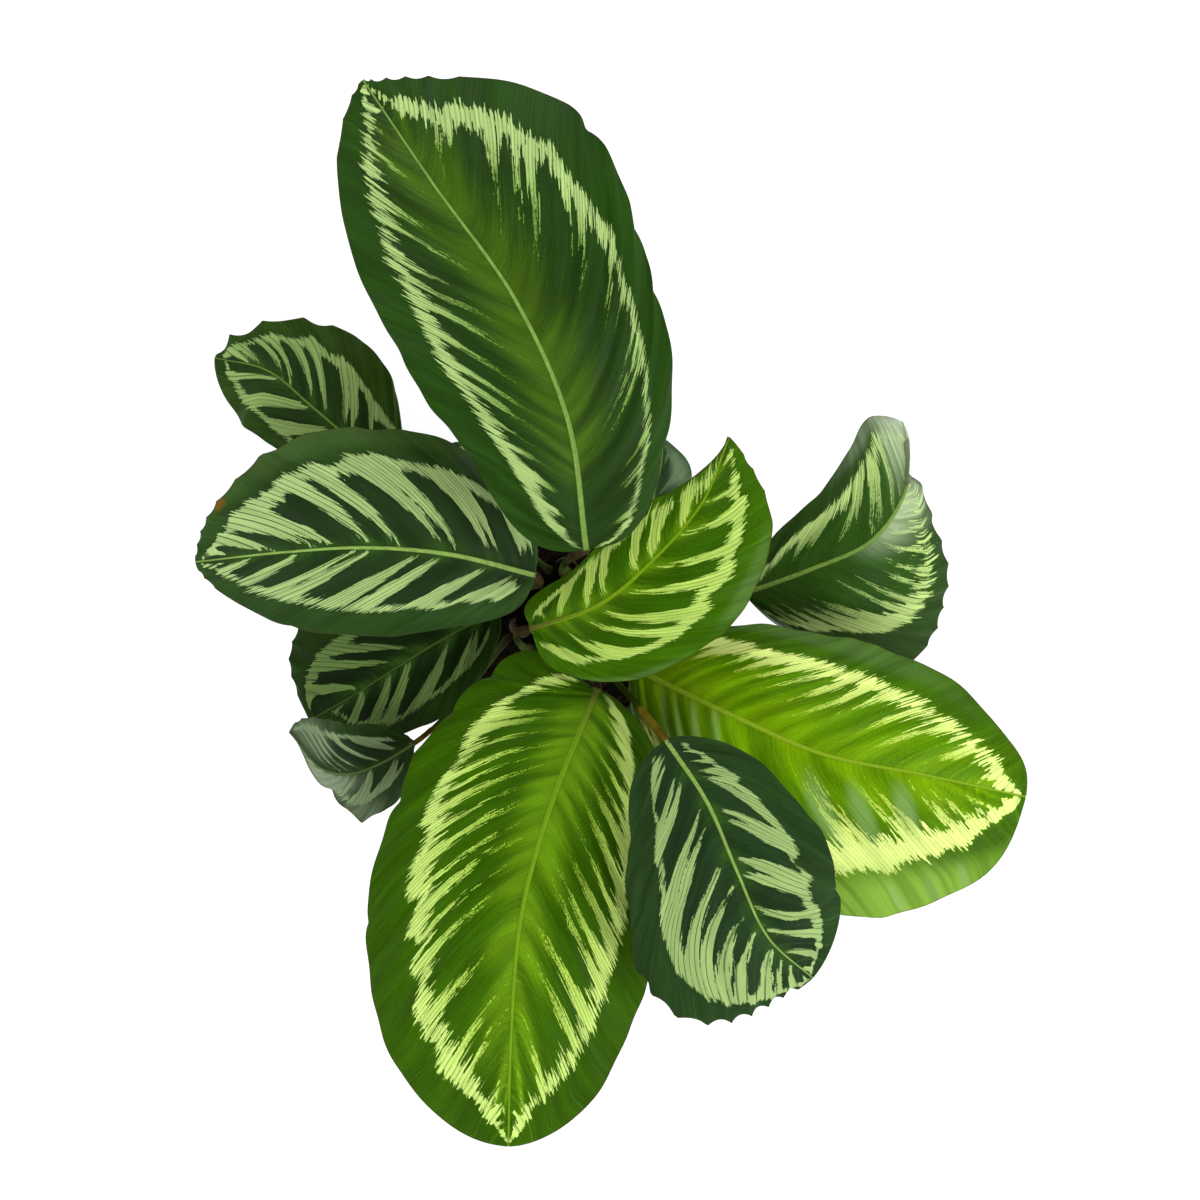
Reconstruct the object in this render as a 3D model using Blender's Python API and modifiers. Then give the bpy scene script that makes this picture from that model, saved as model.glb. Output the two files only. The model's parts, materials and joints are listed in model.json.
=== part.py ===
"""Potted calathea: a plain nursery pot, soil, a crown, and twelve stalked leaves.

Metres, +Z up. The origin is the middle of the pot's flat base, on the surface it stands on.
Plant sizes below are in millimetres and become metres as the meshes are made.
"""
import math

import bmesh
import bpy
from mathutils import Vector

MM = 0.001
TOUCH_GAP = 0.3            # clear space between neighbours that touch

# Pot
POT_HEIGHT = 125.0
POT_RIM_RADIUS = 72.0
POT_NECK_RADIUS = 66.5     # just under the rim band
POT_BASE_RADIUS = 51.0
RIM_BAND_HEIGHT = 14.0
RIM_ROLL = 2.0             # rounding of the lip
BASE_ROUNDING = 4.0
WALL = 2.0
FLOOR_THICKNESS = 2.5
POT_SIDES = 40
DRAIN_HOLES = 8
DRAIN_RADIUS = 4.5
DRAIN_CIRCLE = 36.0

# Soil and crown
SOIL_LEVEL = 108.0         # at the pot wall
SOIL_MOUND = 4.0           # how much higher the soil is in the middle
CROWN_RADIUS = 8.0
CROWN_HEIGHT = 9.0

# Leaves
BLADE_THICKNESS = 1.2
BLADE_COLUMNS = 15         # along the blade, one for each coarse step between side veins
BLADE_ROWS = 3             # from midrib to margin, on each side
BLADE_START = 0.03         # where the first and the last column lie, as a fraction of the blade
BLADE_END = 0.985
VEIN_CROWDING = 2.5        # side veins leave the midrib closer together near the stalk
VEIN_STRAIGHTNESS = 0.55   # 1 is a straight side vein, less bends it towards the tip
LOBE_REACH = 0.35          # share of the blade over which a basal lobe fades out

# Stalks
STALK_POINTS = 14
SHEATH_RADIUS = 4.0        # the sheathed foot of the thickest stalk
STALK_RADIUS = 1.7
JOINT_RADIUS = 2.1         # the swollen joint under the blade
STALK_END_GAP = 1.6        # from the stalk's last point to the start of the blade

# Papery scales round the stalks' feet: the middle they wrap round, facing in degrees, height
SCALES = {
    "papery_scale_1": ((-8.0, -5.0), 230.0, 60.0),
    "papery_scale_2": ((-21.0, 2.0), 185.0, 48.0),
    "papery_scale_3": ((8.0, -20.0), 250.0, 42.0),
    "papery_scale_4": ((12.0, 20.0), 75.0, 54.0),
}
SCALE_RADIUS = 5.2
SCALE_THICKNESS = 0.8
SCALE_SWEEP = 150.0

# Each blade: points along the midrib, and for each side the half-widths of the ellipse it is
# cut from at seven even steps from stalk to tip, the basal lobe, and how steeply the side
# climbs from the midrib and then droops to the margin. "sweep" turns the side veins from square
# on to the midrib (0) towards square on to the whole blade (1). "left" is on the left of
# somebody looking along the blade from its stalk. The stalk is its foot on the soil and the
# elbow that it bends at, and "girth" is its thickness next to the thickest stalk's.
LEAVES = {
    "back_leaf": {
        "midrib": ((23, 28, 350), (15, 84, 372), (-8, 136, 380), (-42, 184, 376), (-74, 232, 360)),
        "left": {"widths": (60, 57, 54, 55, 52, 45, 28), "lobe": 4, "climb": 0.22, "droop": 0.32},
        "right": {"widths": (62, 52, 54, 62, 77, 53, 6), "lobe": 4, "climb": 0.22, "droop": 0.32},
        "sweep": 0.0, "girth": 1.0,
        "foot": (12, 20), "elbow": (9, 22, 322),
    },
    "left_leaf": {
        "midrib": ((0, 17, 322), (-37, 26, 335), (-74, 29, 338), (-112, 27, 330), (-152, 23, 312)),
        "left": {"widths": (50, 41, 39, 39, 38, 31, 24), "lobe": 2, "climb": 0.22, "droop": 0.32},
        "right": {"widths": (58, 49, 53, 54, 54, 48, 44), "lobe": 0, "climb": 0.22, "droop": 0.32},
        "sweep": 0.0, "girth": 0.95,
        "foot": (-6, 14), "elbow": (6, 10, 300),
    },
    "back_left_leaf": {
        "midrib": ((-62, 61, 272), (-82, 77, 280), (-102, 94, 280), (-123, 111, 272), (-149, 118, 256)),
        "left": {"widths": (14, 16, 19, 25, 31, 31, 15), "lobe": 0, "climb": 0.22, "droop": 0.32},
        "right": {"widths": (14, 22, 33, 38, 33, 22, 12), "lobe": 0, "climb": 0.22, "droop": 0.32},
        "sweep": 0.0, "girth": 0.8,
        "foot": (-13, 20), "elbow": (-38, 42, 258),
    },
    "low_left_leaf": {
        "midrib": ((-18, 1, 256), (-40, -10, 254), (-62, -23, 238), (-86, -38, 212), (-111, -52, 180)),
        "left": {"widths": (24, 26, 29, 31, 29, 26, 30), "lobe": 0, "climb": 0.2, "droop": 0.5},
        "right": {"widths": (16, 20, 29, 41, 52, 68, 100), "lobe": 0, "climb": 0.2, "droop": 0.4},
        "sweep": 0.0, "girth": 0.8,
        "foot": (-21, 2), "elbow": (-8, 6, 240),
    },
    "drooping_leaf": {
        "midrib": ((-58, -61, 236), (-73, -70, 241), (-88, -75, 240), (-103, -72, 230), (-118, -56, 212)),
        "left": {"widths": (24, 25, 25.5, 17.5, 7, 1.5, 1.5), "lobe": 0, "climb": 0.1, "droop": 0.6},
        "right": {"widths": (13, 15, 21, 23, 26.5, 25.5, 24), "lobe": 0, "climb": 0.1, "droop": 0.25},
        "sweep": 0.6, "girth": 0.6,
        "foot": (-17, -13), "elbow": (-40, -49, 216),
    },
    "front_leaf": {
        "midrib": ((28, -34, 300), (8, -83, 312), (-6, -134, 310), (-11, -188, 296), (-13, -244, 272)),
        "left": {"widths": (60, 66, 63, 62, 61, 61, 50), "lobe": 0, "climb": 0.22, "droop": 0.32},
        "right": {"widths": (86, 78, 73, 69, 70, 69, 72), "lobe": 16, "climb": 0.22, "droop": 0.32},
        "sweep": 0.0, "girth": 1.0,
        "foot": (8, -20), "elbow": (28, -27, 280),
    },
    "front_right_leaf": {
        "midrib": ((44, -25, 272), (86, -45, 284), (130, -64, 284), (177, -74, 274), (226, -85, 254)),
        "left": {"widths": (40, 44, 50, 54, 54, 48, 60), "lobe": 0, "climb": 0.22, "droop": 0.32},
        "right": {"widths": (40, 45, 54, 68, 76, 85, 120), "lobe": 0, "climb": 0.22, "droop": 0.32},
        "sweep": 0.0, "girth": 1.0,
        "foot": (25, -5), "elbow": (32, -19, 256),
    },
    "upper_front_leaf": {
        "midrib": ((58, -56, 330), (76, -83, 338), (89, -113, 338), (103, -143, 330), (124, -163, 314)),
        "left": {"widths": (20, 29, 35, 41, 43, 55, 36), "lobe": 0, "climb": 0.22, "droop": 0.32},
        "right": {"widths": (60, 50, 45, 51, 65, 52, 30), "lobe": 0, "climb": 0.22, "droop": 0.32},
        "sweep": 0.0, "girth": 0.85,
        "foot": (18, -13), "elbow": (41, -34, 312),
    },
    "centre_leaf": {
        "midrib": ((-2, -7, 306), (29, 4, 316), (54, 25, 320), (75, 50, 318), (87, 79, 308)),
        "left": {"widths": (34, 26, 23, 21, 15, 4, 1), "lobe": 5, "climb": 0.22, "droop": 0.32},
        "right": {"widths": (50, 41, 43, 45, 41, 27, 9), "lobe": 4, "climb": 0.22, "droop": 0.32},
        "sweep": 0.0, "girth": 0.9,
        "foot": (-6, -19), "elbow": (-16, -8, 290),
    },
    "right_leaf": {
        "midrib": ((96, 9, 240), (126, 20, 254), (154, 33, 256), (171, 56, 242), (174, 79, 218),
                   (175, 92, 178)),
        "left": {"widths": (14, 24, 30, 34, 30, 22, 14), "lobe": 0, "climb": 0.1, "droop": 0.25},
        "right": {"widths": (90, 67, 71, 39, 2.5, 4, 3), "lobe": 0, "climb": 0.05, "droop": 0.8},
        "sweep": 0.75, "girth": 0.85,
        "foot": (24, 5), "elbow": (72, 4, 226),
    },
    "small_back_leaf": {
        "midrib": ((48, 31, 250), (52, 43, 264), (54, 55, 274), (57, 68, 278), (58, 80, 276)),
        "left": {"widths": (10, 10, 10, 8, 6, 8, 6), "lobe": 0, "climb": 0.22, "droop": 0.32},
        "right": {"widths": (10, 12, 14, 15, 16, 10, 4), "lobe": 0, "climb": 0.22, "droop": 0.32},
        "sweep": 0.0, "girth": 0.65,
        "foot": (20, 14), "elbow": (38, 24, 232),
    },
    "tucked_leaf": {
        "midrib": ((-12, 36, 228), (-18, 48, 240), (-25, 60, 244), (-33, 70, 242), (-41, 79, 234)),
        "left": {"widths": (10, 12, 12, 12, 12, 10, 8), "lobe": 0, "climb": 0.22, "droop": 0.32},
        "right": {"widths": (10, 12, 13, 13, 12, 10, 8), "lobe": 0, "climb": 0.22, "droop": 0.32},
        "sweep": 0.0, "girth": 0.65,
        "foot": (3, 21), "elbow": (-7, 32, 208),
    },
}


def clear_scene():
    for obj in list(bpy.data.objects):
        bpy.data.objects.remove(obj, do_unlink=True)


def new_collection(name):
    collection = bpy.data.collections.new(name)
    bpy.context.scene.collection.children.link(collection)
    return collection


def material(name, colour, roughness, metallic=0.0):
    finish = bpy.data.materials.new(name)
    finish.use_nodes = True
    shader = finish.node_tree.nodes["Principled BSDF"]
    shader.inputs["Base Color"].default_value = (*colour, 1.0)
    shader.inputs["Roughness"].default_value = roughness
    shader.inputs["Metallic"].default_value = metallic
    return finish


def add_object(name, data, collection, finish=None):
    obj = bpy.data.objects.new(name, data)
    collection.objects.link(obj)
    if finish:
        data.materials.append(finish)
    return obj


def add_mesh(name, bm, collection, finish=None):
    mesh = bpy.data.meshes.new(name)
    bm.to_mesh(mesh)
    bm.free()
    return add_object(name, mesh, collection, finish)


def smooth_through(points, at):
    """Point at the fraction `at` of a smooth curve through evenly stepped points or numbers."""
    last = len(points) - 1
    place = min(max(at, 0.0), 1.0) * last
    step = min(int(place), last - 1)
    f = place - step
    p1, p2 = points[step], points[step + 1]
    p0 = points[step - 1] if step else 2 * p1 - p2
    p3 = points[step + 2] if step + 2 <= last else 2 * p2 - p1
    return 0.5 * (2 * p1 + (p2 - p0) * f + (2 * p0 - 5 * p1 + 4 * p2 - p3) * f * f
                  + (3 * p1 - p0 - 3 * p2 + p3) * f ** 3)


def midrib_frame(leaf, at):
    """The midrib's point at a fraction of its length, with its level forward and left."""
    points = [Vector(p) for p in leaf["midrib"]]
    step = 0.01
    forward = smooth_through(points, at + step) - smooth_through(points, at - step)
    whole = points[-1] - points[0]
    forward = Vector((forward.x, forward.y, 0)).normalized()
    whole = Vector((whole.x, whole.y, 0)).normalized()
    forward = forward.lerp(whole, leaf["sweep"]).normalized()
    return smooth_through(points, at), forward, Vector((-forward.y, forward.x, 0))


def blade_point(leaf, side, along, out):
    """A point of the blade: `along` picks a side vein, `out` goes from midrib to margin."""
    shape = leaf["left" if side > 0 else "right"]
    at_margin = (1 - math.cos(math.pi * along)) / 2
    at_midrib = at_margin ** VEIN_CROWDING
    bend = VEIN_STRAIGHTNESS * out + (1 - VEIN_STRAIGHTNESS) * out * out
    centre, forward, left = midrib_frame(leaf, at_midrib + (at_margin - at_midrib) * bend)
    width = smooth_through(shape["widths"], along) * math.sin(math.pi * along)
    fade = min(along / LOBE_REACH, 1.0)
    lobe = shape["lobe"] * 16 * fade ** 2 * (1 - fade) ** 2
    lift = width * (shape["climb"] * out - shape["droop"] * out * out)
    return centre + left * (side * width * out) - forward * (lobe * out * out) + Vector((0, 0, lift))


def make_blade(name, leaf, collection, finish):
    """A thin curved sheet: a flat grid carried onto the blade's shape, then given thickness."""
    bm = bmesh.new()
    bmesh.ops.create_grid(bm, x_segments=BLADE_COLUMNS, y_segments=2 * BLADE_ROWS, size=1.0)
    for vert in bm.verts:
        along = BLADE_START + (BLADE_END - BLADE_START) * (vert.co.x + 1) / 2
        side = 1 if vert.co.y >= 0 else -1
        vert.co = blade_point(leaf, side, along, abs(vert.co.y)) * MM
    blade = add_mesh(name, bm, collection, finish)
    thickness = blade.modifiers.new("thickness", "SOLIDIFY")
    thickness.thickness = BLADE_THICKNESS * MM
    thickness.offset = 0.0
    blade.data.shade_smooth()
    return blade


def stalk_route(leaf):
    """A stalk's points: straight up out of the soil, over to its elbow and on to the blade."""
    foot = Vector((*leaf["foot"], soil_height(math.hypot(*leaf["foot"])) + TOUCH_GAP))
    elbow = Vector(leaf["elbow"])
    base, forward, _ = midrib_frame(leaf, 0.0)
    end = base - (base - elbow).normalized() * STALK_END_GAP
    rise = Vector((0, 0, (elbow.z - foot.z) * 0.45))
    points = []
    for i in range(STALK_POINTS):
        t = i / (STALK_POINTS - 1)
        s = 1 - t
        points.append(foot * s ** 3 + (foot + rise) * (3 * s * s * t) + elbow * (3 * s * t * t)
                      + end * t ** 3)
    return points


def stalk_thickness(t):
    """Radius along a stalk: a sheathed foot, a slim middle and a swollen joint at the top."""
    sheath = (SHEATH_RADIUS - STALK_RADIUS) * max(0.0, 1 - t / 0.55) ** 1.5
    joint = (JOINT_RADIUS - STALK_RADIUS) if t > 0.88 else 0.0
    return STALK_RADIUS + sheath + joint


def make_stalk(name, leaf, collection, finish):
    curve = bpy.data.curves.new(name, "CURVE")
    curve.dimensions = "3D"
    curve.bevel_depth = MM
    curve.bevel_resolution = 2
    curve.use_fill_caps = True
    route = stalk_route(leaf)
    spline = curve.splines.new("POLY")
    spline.points.add(len(route) - 1)
    for i, (point, place) in enumerate(zip(spline.points, route)):
        point.co = (*(place * MM), 1.0)
        point.radius = leaf["girth"] * stalk_thickness(i / (len(route) - 1))
    return add_object(name, curve, collection, finish)


def turned(name, profile, collection, finish, sides):
    """A closed round solid from a profile in the XZ plane that starts and ends on the axis."""
    bm = bmesh.new()
    verts = [bm.verts.new((x * MM, 0.0, z * MM)) for x, z in profile]
    for start, end in zip(verts, verts[1:]):
        bm.edges.new((start, end))
    obj = add_mesh(name, bm, collection, finish)
    screw = obj.modifiers.new("turn", "SCREW")
    screw.steps = sides
    screw.render_steps = sides
    screw.use_merge_vertices = True
    screw.merge_threshold = 0.00001
    return obj


def soil_height(radius):
    return SOIL_LEVEL + SOIL_MOUND * (1 - (radius / POT_NECK_RADIUS) ** 2)


def wall_radius(z):
    """Outer radius of the pot's tapered wall."""
    neck_z = POT_HEIGHT - RIM_BAND_HEIGHT
    return POT_BASE_RADIUS + (POT_NECK_RADIUS - POT_BASE_RADIUS) * z / neck_z


def make_pot(collection, cutters):
    finish = material("pot_plastic", (0.035, 0.036, 0.038), 0.55)
    neck_z = POT_HEIGHT - RIM_BAND_HEIGHT
    rim_inner = POT_RIM_RADIUS - WALL - RIM_ROLL
    profile = [(0, FLOOR_THICKNESS),
               (wall_radius(FLOOR_THICKNESS) - WALL - BASE_ROUNDING, FLOOR_THICKNESS),
               (wall_radius(FLOOR_THICKNESS + BASE_ROUNDING) - WALL, FLOOR_THICKNESS + BASE_ROUNDING),
               (POT_NECK_RADIUS - WALL, neck_z),
               (rim_inner, POT_HEIGHT - RIM_ROLL),
               (rim_inner + RIM_ROLL / 2, POT_HEIGHT),
               (POT_RIM_RADIUS - RIM_ROLL / 2, POT_HEIGHT),
               (POT_RIM_RADIUS, POT_HEIGHT - RIM_ROLL),
               (POT_RIM_RADIUS - 0.5, neck_z),
               (POT_NECK_RADIUS, neck_z - WALL),
               (wall_radius(BASE_ROUNDING), BASE_ROUNDING),
               (wall_radius(0) - BASE_ROUNDING * 0.3, BASE_ROUNDING * 0.3),
               (wall_radius(0) - BASE_ROUNDING, 0),
               (0, 0)]
    pot = turned("pot", profile, collection, finish, POT_SIDES)
    for i in range(DRAIN_HOLES):
        angle = 2 * math.pi * (i + 0.5) / DRAIN_HOLES
        bm = bmesh.new()
        bmesh.ops.create_cone(bm, cap_ends=True, segments=12, depth=4 * FLOOR_THICKNESS * MM,
                              radius1=DRAIN_RADIUS * MM, radius2=DRAIN_RADIUS * MM)
        cutter = add_mesh(f"drain_cutter_{i}", bm, cutters)
        cutter.location = (DRAIN_CIRCLE * MM * math.cos(angle), DRAIN_CIRCLE * MM * math.sin(angle), 0)
        cutter.hide_render = True
        cutter.display_type = "WIRE"
        hole = pot.modifiers.new(f"drain_{i}", "BOOLEAN")
        hole.operation = "DIFFERENCE"
        hole.object = cutter
    return pot


def make_soil(collection):
    finish = material("potting_soil", (0.045, 0.03, 0.02), 0.95)
    inset = WALL + TOUCH_GAP
    floor = FLOOR_THICKNESS + TOUCH_GAP
    edge = POT_NECK_RADIUS * SOIL_LEVEL / (POT_HEIGHT - RIM_BAND_HEIGHT)
    profile = [(radius, soil_height(radius)) for radius in (0, 16, 32, 48)]
    profile += [(wall_radius(SOIL_LEVEL) - inset, soil_height(edge)),
                (wall_radius(floor + BASE_ROUNDING) - inset, floor + BASE_ROUNDING),
                (wall_radius(floor) - inset - BASE_ROUNDING, floor),
                (0, floor)]
    return turned("soil", profile, collection, finish, POT_SIDES)


def make_crown(collection):
    """The knobbly top of the rootstock, a low dome between the feet of the stalks."""
    finish = material("rootstock", (0.16, 0.1, 0.05), 0.8)
    foot = soil_height(0) + TOUCH_GAP
    profile = [(0, foot + CROWN_HEIGHT)]
    for degrees in (25, 50, 75, 90):
        turn = math.radians(degrees)
        profile.append((CROWN_RADIUS * math.sin(turn), foot + CROWN_HEIGHT * math.cos(turn)))
    profile.append((0, foot))
    return turned("crown", profile, collection, finish, 20)


def make_scale(name, collection, finish):
    """A dry, pointed scale that stands half wrapped round a stalk's foot."""
    middle, direction, height = SCALES[name]
    facing = math.radians(direction)
    centre = Vector((*middle, 0))
    foot = soil_height(centre.length) + TOUCH_GAP
    bm = bmesh.new()
    bmesh.ops.create_grid(bm, x_segments=6, y_segments=6, size=1.0)
    for vert in bm.verts:
        up = (vert.co.y + 1) / 2
        half = math.radians(SCALE_SWEEP) / 2 * math.sqrt(1 - 0.97 * up ** 2)
        angle = facing + vert.co.x * half
        radius = SCALE_RADIUS * (1 + 0.35 * up)
        vert.co = (centre + Vector((math.cos(angle) * radius, math.sin(angle) * radius,
                                    foot + up * height))) * MM
    scale = add_mesh(name, bm, collection, finish)
    thickness = scale.modifiers.new("thickness", "SOLIDIFY")
    thickness.thickness = SCALE_THICKNESS * MM
    thickness.offset = 0.0
    return scale


def main():
    clear_scene()
    collection = new_collection("potted_calathea")
    cutters = new_collection("cutters")
    make_pot(collection, cutters)
    make_soil(collection)
    make_crown(collection)
    blade_finish = material("leaf_blade", (0.04, 0.14, 0.02), 0.4)
    stalk_finish = material("leaf_stalk", (0.09, 0.13, 0.03), 0.45)
    paper_finish = material("dry_scale", (0.45, 0.36, 0.26), 0.8)
    for name, leaf in LEAVES.items():
        make_blade(f"{name}_blade", leaf, collection, blade_finish)
        make_stalk(f"{name}_stalk", leaf, collection, stalk_finish)
    for name in SCALES:
        make_scale(name, collection, paper_finish)


main()
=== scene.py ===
"""Potted calathea: the finish of every leaf, stalk and scale, the pot and its soil.

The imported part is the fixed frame. Plant sizes are in millimetres and become metres as the
meshes are made; each leaf is grown from the same few numbers as its plain solid.
"""
import json
import math

import bpy
import numpy as np
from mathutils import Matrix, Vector, noise

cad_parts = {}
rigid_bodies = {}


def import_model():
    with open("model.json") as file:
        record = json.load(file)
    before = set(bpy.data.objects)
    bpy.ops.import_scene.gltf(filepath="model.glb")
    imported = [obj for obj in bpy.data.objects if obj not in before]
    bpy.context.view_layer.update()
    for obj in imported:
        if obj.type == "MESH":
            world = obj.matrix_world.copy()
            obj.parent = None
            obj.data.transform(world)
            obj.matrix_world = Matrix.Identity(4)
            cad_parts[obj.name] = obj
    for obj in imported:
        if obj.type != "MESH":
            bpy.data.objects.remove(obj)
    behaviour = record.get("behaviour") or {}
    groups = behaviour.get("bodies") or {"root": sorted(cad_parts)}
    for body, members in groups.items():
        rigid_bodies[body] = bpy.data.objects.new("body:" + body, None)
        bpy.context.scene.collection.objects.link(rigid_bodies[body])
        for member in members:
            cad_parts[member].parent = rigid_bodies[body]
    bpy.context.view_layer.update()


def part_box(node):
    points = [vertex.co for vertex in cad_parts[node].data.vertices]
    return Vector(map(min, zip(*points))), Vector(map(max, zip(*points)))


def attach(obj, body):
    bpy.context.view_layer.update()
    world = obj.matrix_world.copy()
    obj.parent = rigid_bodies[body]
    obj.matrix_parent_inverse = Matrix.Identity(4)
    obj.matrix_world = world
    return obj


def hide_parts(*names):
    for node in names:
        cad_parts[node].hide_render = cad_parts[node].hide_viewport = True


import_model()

MM = 0.001
UV_UNIT = 100.0            # millimetres to one unit of a blade's or a stalk's own map

# ---------------------------------------------------------------- leaf shapes, as in the part
VEIN_CROWDING = 2.5        # how much closer together veins leave the midrib near the stalk
VEIN_STRAIGHTNESS = 0.55   # the share of a vein's lean that comes evenly on its way out
LOBE_REACH = 0.35          # the share of the veins that a lobe beside the stalk pushes back
STALK_RADIUS = 1.7
SHEATH_RADIUS = 4.0
JOINT_RADIUS = 2.1
STALK_END_GAP = 1.6        # millimetres from a stalk's end to the start of its midrib


def half(widths, lobe=0, climb=0.22, droop=0.32):
    """One side of a blade: half widths from stalk to tip, how far a lobe beside the stalk is
    pushed back, and how it climbs from the midrib and droops to the margin, as shares."""
    return {"widths": widths, "lobe": lobe, "climb": climb, "droop": droop}


# Each leaf: points of its midrib, its two sides, "sweep" for how far the sides keep to the whole
# blade's direction where the midrib bends, "girth" for its stalk's thickness as a share, and
# where its stalk has its foot and its elbow.
LEAVES = {
    "back_leaf": {
        "midrib": ((23, 28, 350), (15, 84, 372), (-8, 136, 380), (-42, 184, 376), (-74, 232, 360)),
        "left": half((60, 57, 54, 55, 52, 45, 28), lobe=4),
        "right": half((62, 52, 54, 62, 77, 53, 6), lobe=4),
        "sweep": 0.0, "girth": 1.0,
        "foot": (12, 20), "elbow": (9, 22, 322),
    },
    "left_leaf": {
        "midrib": ((0, 17, 322), (-37, 26, 335), (-74, 29, 338), (-112, 27, 330), (-152, 23, 312)),
        "left": half((50, 41, 39, 39, 38, 31, 24), lobe=2),
        "right": half((58, 49, 53, 54, 54, 48, 44)),
        "sweep": 0.0, "girth": 0.95,
        "foot": (-6, 14), "elbow": (6, 10, 300),
    },
    "back_left_leaf": {
        "midrib": ((-62, 61, 272), (-82, 77, 280), (-102, 94, 280), (-123, 111, 272), (-149, 118, 256)),
        "left": half((14, 16, 19, 25, 31, 31, 15)),
        "right": half((14, 22, 33, 38, 33, 22, 12)),
        "sweep": 0.0, "girth": 0.8,
        "foot": (-13, 20), "elbow": (-38, 42, 258),
    },
    "low_left_leaf": {
        "midrib": ((-18, 1, 256), (-40, -10, 254), (-62, -23, 238), (-86, -38, 212), (-111, -52, 180)),
        "left": half((24, 26, 29, 31, 29, 26, 30), climb=0.2, droop=0.5),
        "right": half((16, 20, 29, 41, 52, 68, 100), climb=0.2, droop=0.4),
        "sweep": 0.0, "girth": 0.8,
        "foot": (-21, 2), "elbow": (-8, 6, 240),
    },
    "drooping_leaf": {
        "midrib": ((-58, -61, 236), (-73, -70, 241), (-88, -75, 240), (-103, -72, 230), (-118, -56, 212)),
        "left": half((24, 25, 25.5, 17.5, 7, 1.5, 1.5), climb=0.1, droop=0.6),
        "right": half((13, 15, 21, 23, 26.5, 25.5, 24), climb=0.1, droop=0.25),
        "sweep": 0.6, "girth": 0.6,
        "foot": (-17, -13), "elbow": (-40, -49, 216),
    },
    "front_leaf": {
        "midrib": ((28, -34, 300), (8, -83, 312), (-6, -134, 310), (-11, -188, 296), (-13, -244, 272)),
        "left": half((60, 66, 63, 62, 61, 61, 50)),
        "right": half((86, 78, 73, 69, 70, 69, 72), lobe=16),
        "sweep": 0.0, "girth": 1.0,
        "foot": (8, -20), "elbow": (28, -27, 280),
    },
    "front_right_leaf": {
        "midrib": ((44, -25, 272), (86, -45, 284), (130, -64, 284), (177, -74, 274), (226, -85, 254)),
        "left": half((40, 44, 50, 54, 54, 48, 60)),
        "right": half((40, 45, 54, 68, 76, 85, 120)),
        "sweep": 0.0, "girth": 1.0,
        "foot": (25, -5), "elbow": (32, -19, 256),
    },
    "upper_front_leaf": {
        "midrib": ((58, -56, 330), (76, -83, 338), (89, -113, 338), (103, -143, 330), (124, -163, 314)),
        "left": half((20, 29, 35, 41, 43, 55, 36)),
        "right": half((60, 50, 45, 51, 65, 52, 30)),
        "sweep": 0.0, "girth": 0.85,
        "foot": (18, -13), "elbow": (41, -34, 312),
    },
    "centre_leaf": {
        "midrib": ((-2, -7, 306), (29, 4, 316), (54, 25, 320), (75, 50, 318), (87, 79, 308)),
        "left": half((34, 26, 23, 21, 15, 4, 1), lobe=5),
        "right": half((50, 41, 43, 45, 41, 27, 9), lobe=4),
        "sweep": 0.0, "girth": 0.9,
        "foot": (-6, -19), "elbow": (-16, -8, 290),
    },
    "right_leaf": {
        "midrib": ((96, 9, 240), (126, 20, 254), (154, 33, 256), (171, 56, 242), (174, 79, 218),
                   (175, 92, 178)),
        "left": half((14, 24, 30, 34, 30, 22, 14), climb=0.1, droop=0.25),
        "right": half((90, 67, 71, 39, 2.5, 4, 3), climb=0.05, droop=0.8),
        "sweep": 0.75, "girth": 0.85,
        "foot": (24, 5), "elbow": (72, 4, 226),
    },
    "small_back_leaf": {
        "midrib": ((48, 31, 250), (52, 43, 264), (54, 55, 274), (57, 68, 278), (58, 80, 276)),
        "left": half((10, 10, 10, 8, 6, 8, 6)),
        "right": half((10, 12, 14, 15, 16, 10, 4)),
        "sweep": 0.0, "girth": 0.65,
        "foot": (20, 14), "elbow": (38, 24, 232),
    },
    "tucked_leaf": {
        "midrib": ((-12, 36, 228), (-18, 48, 240), (-25, 60, 244), (-33, 70, 242), (-41, 79, 234)),
        "left": half((10, 12, 12, 12, 12, 10, 8)),
        "right": half((10, 12, 13, 13, 12, 10, 8)),
        "sweep": 0.0, "girth": 0.65,
        "foot": (3, 21), "elbow": (-7, 32, 208),
    },
}

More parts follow.
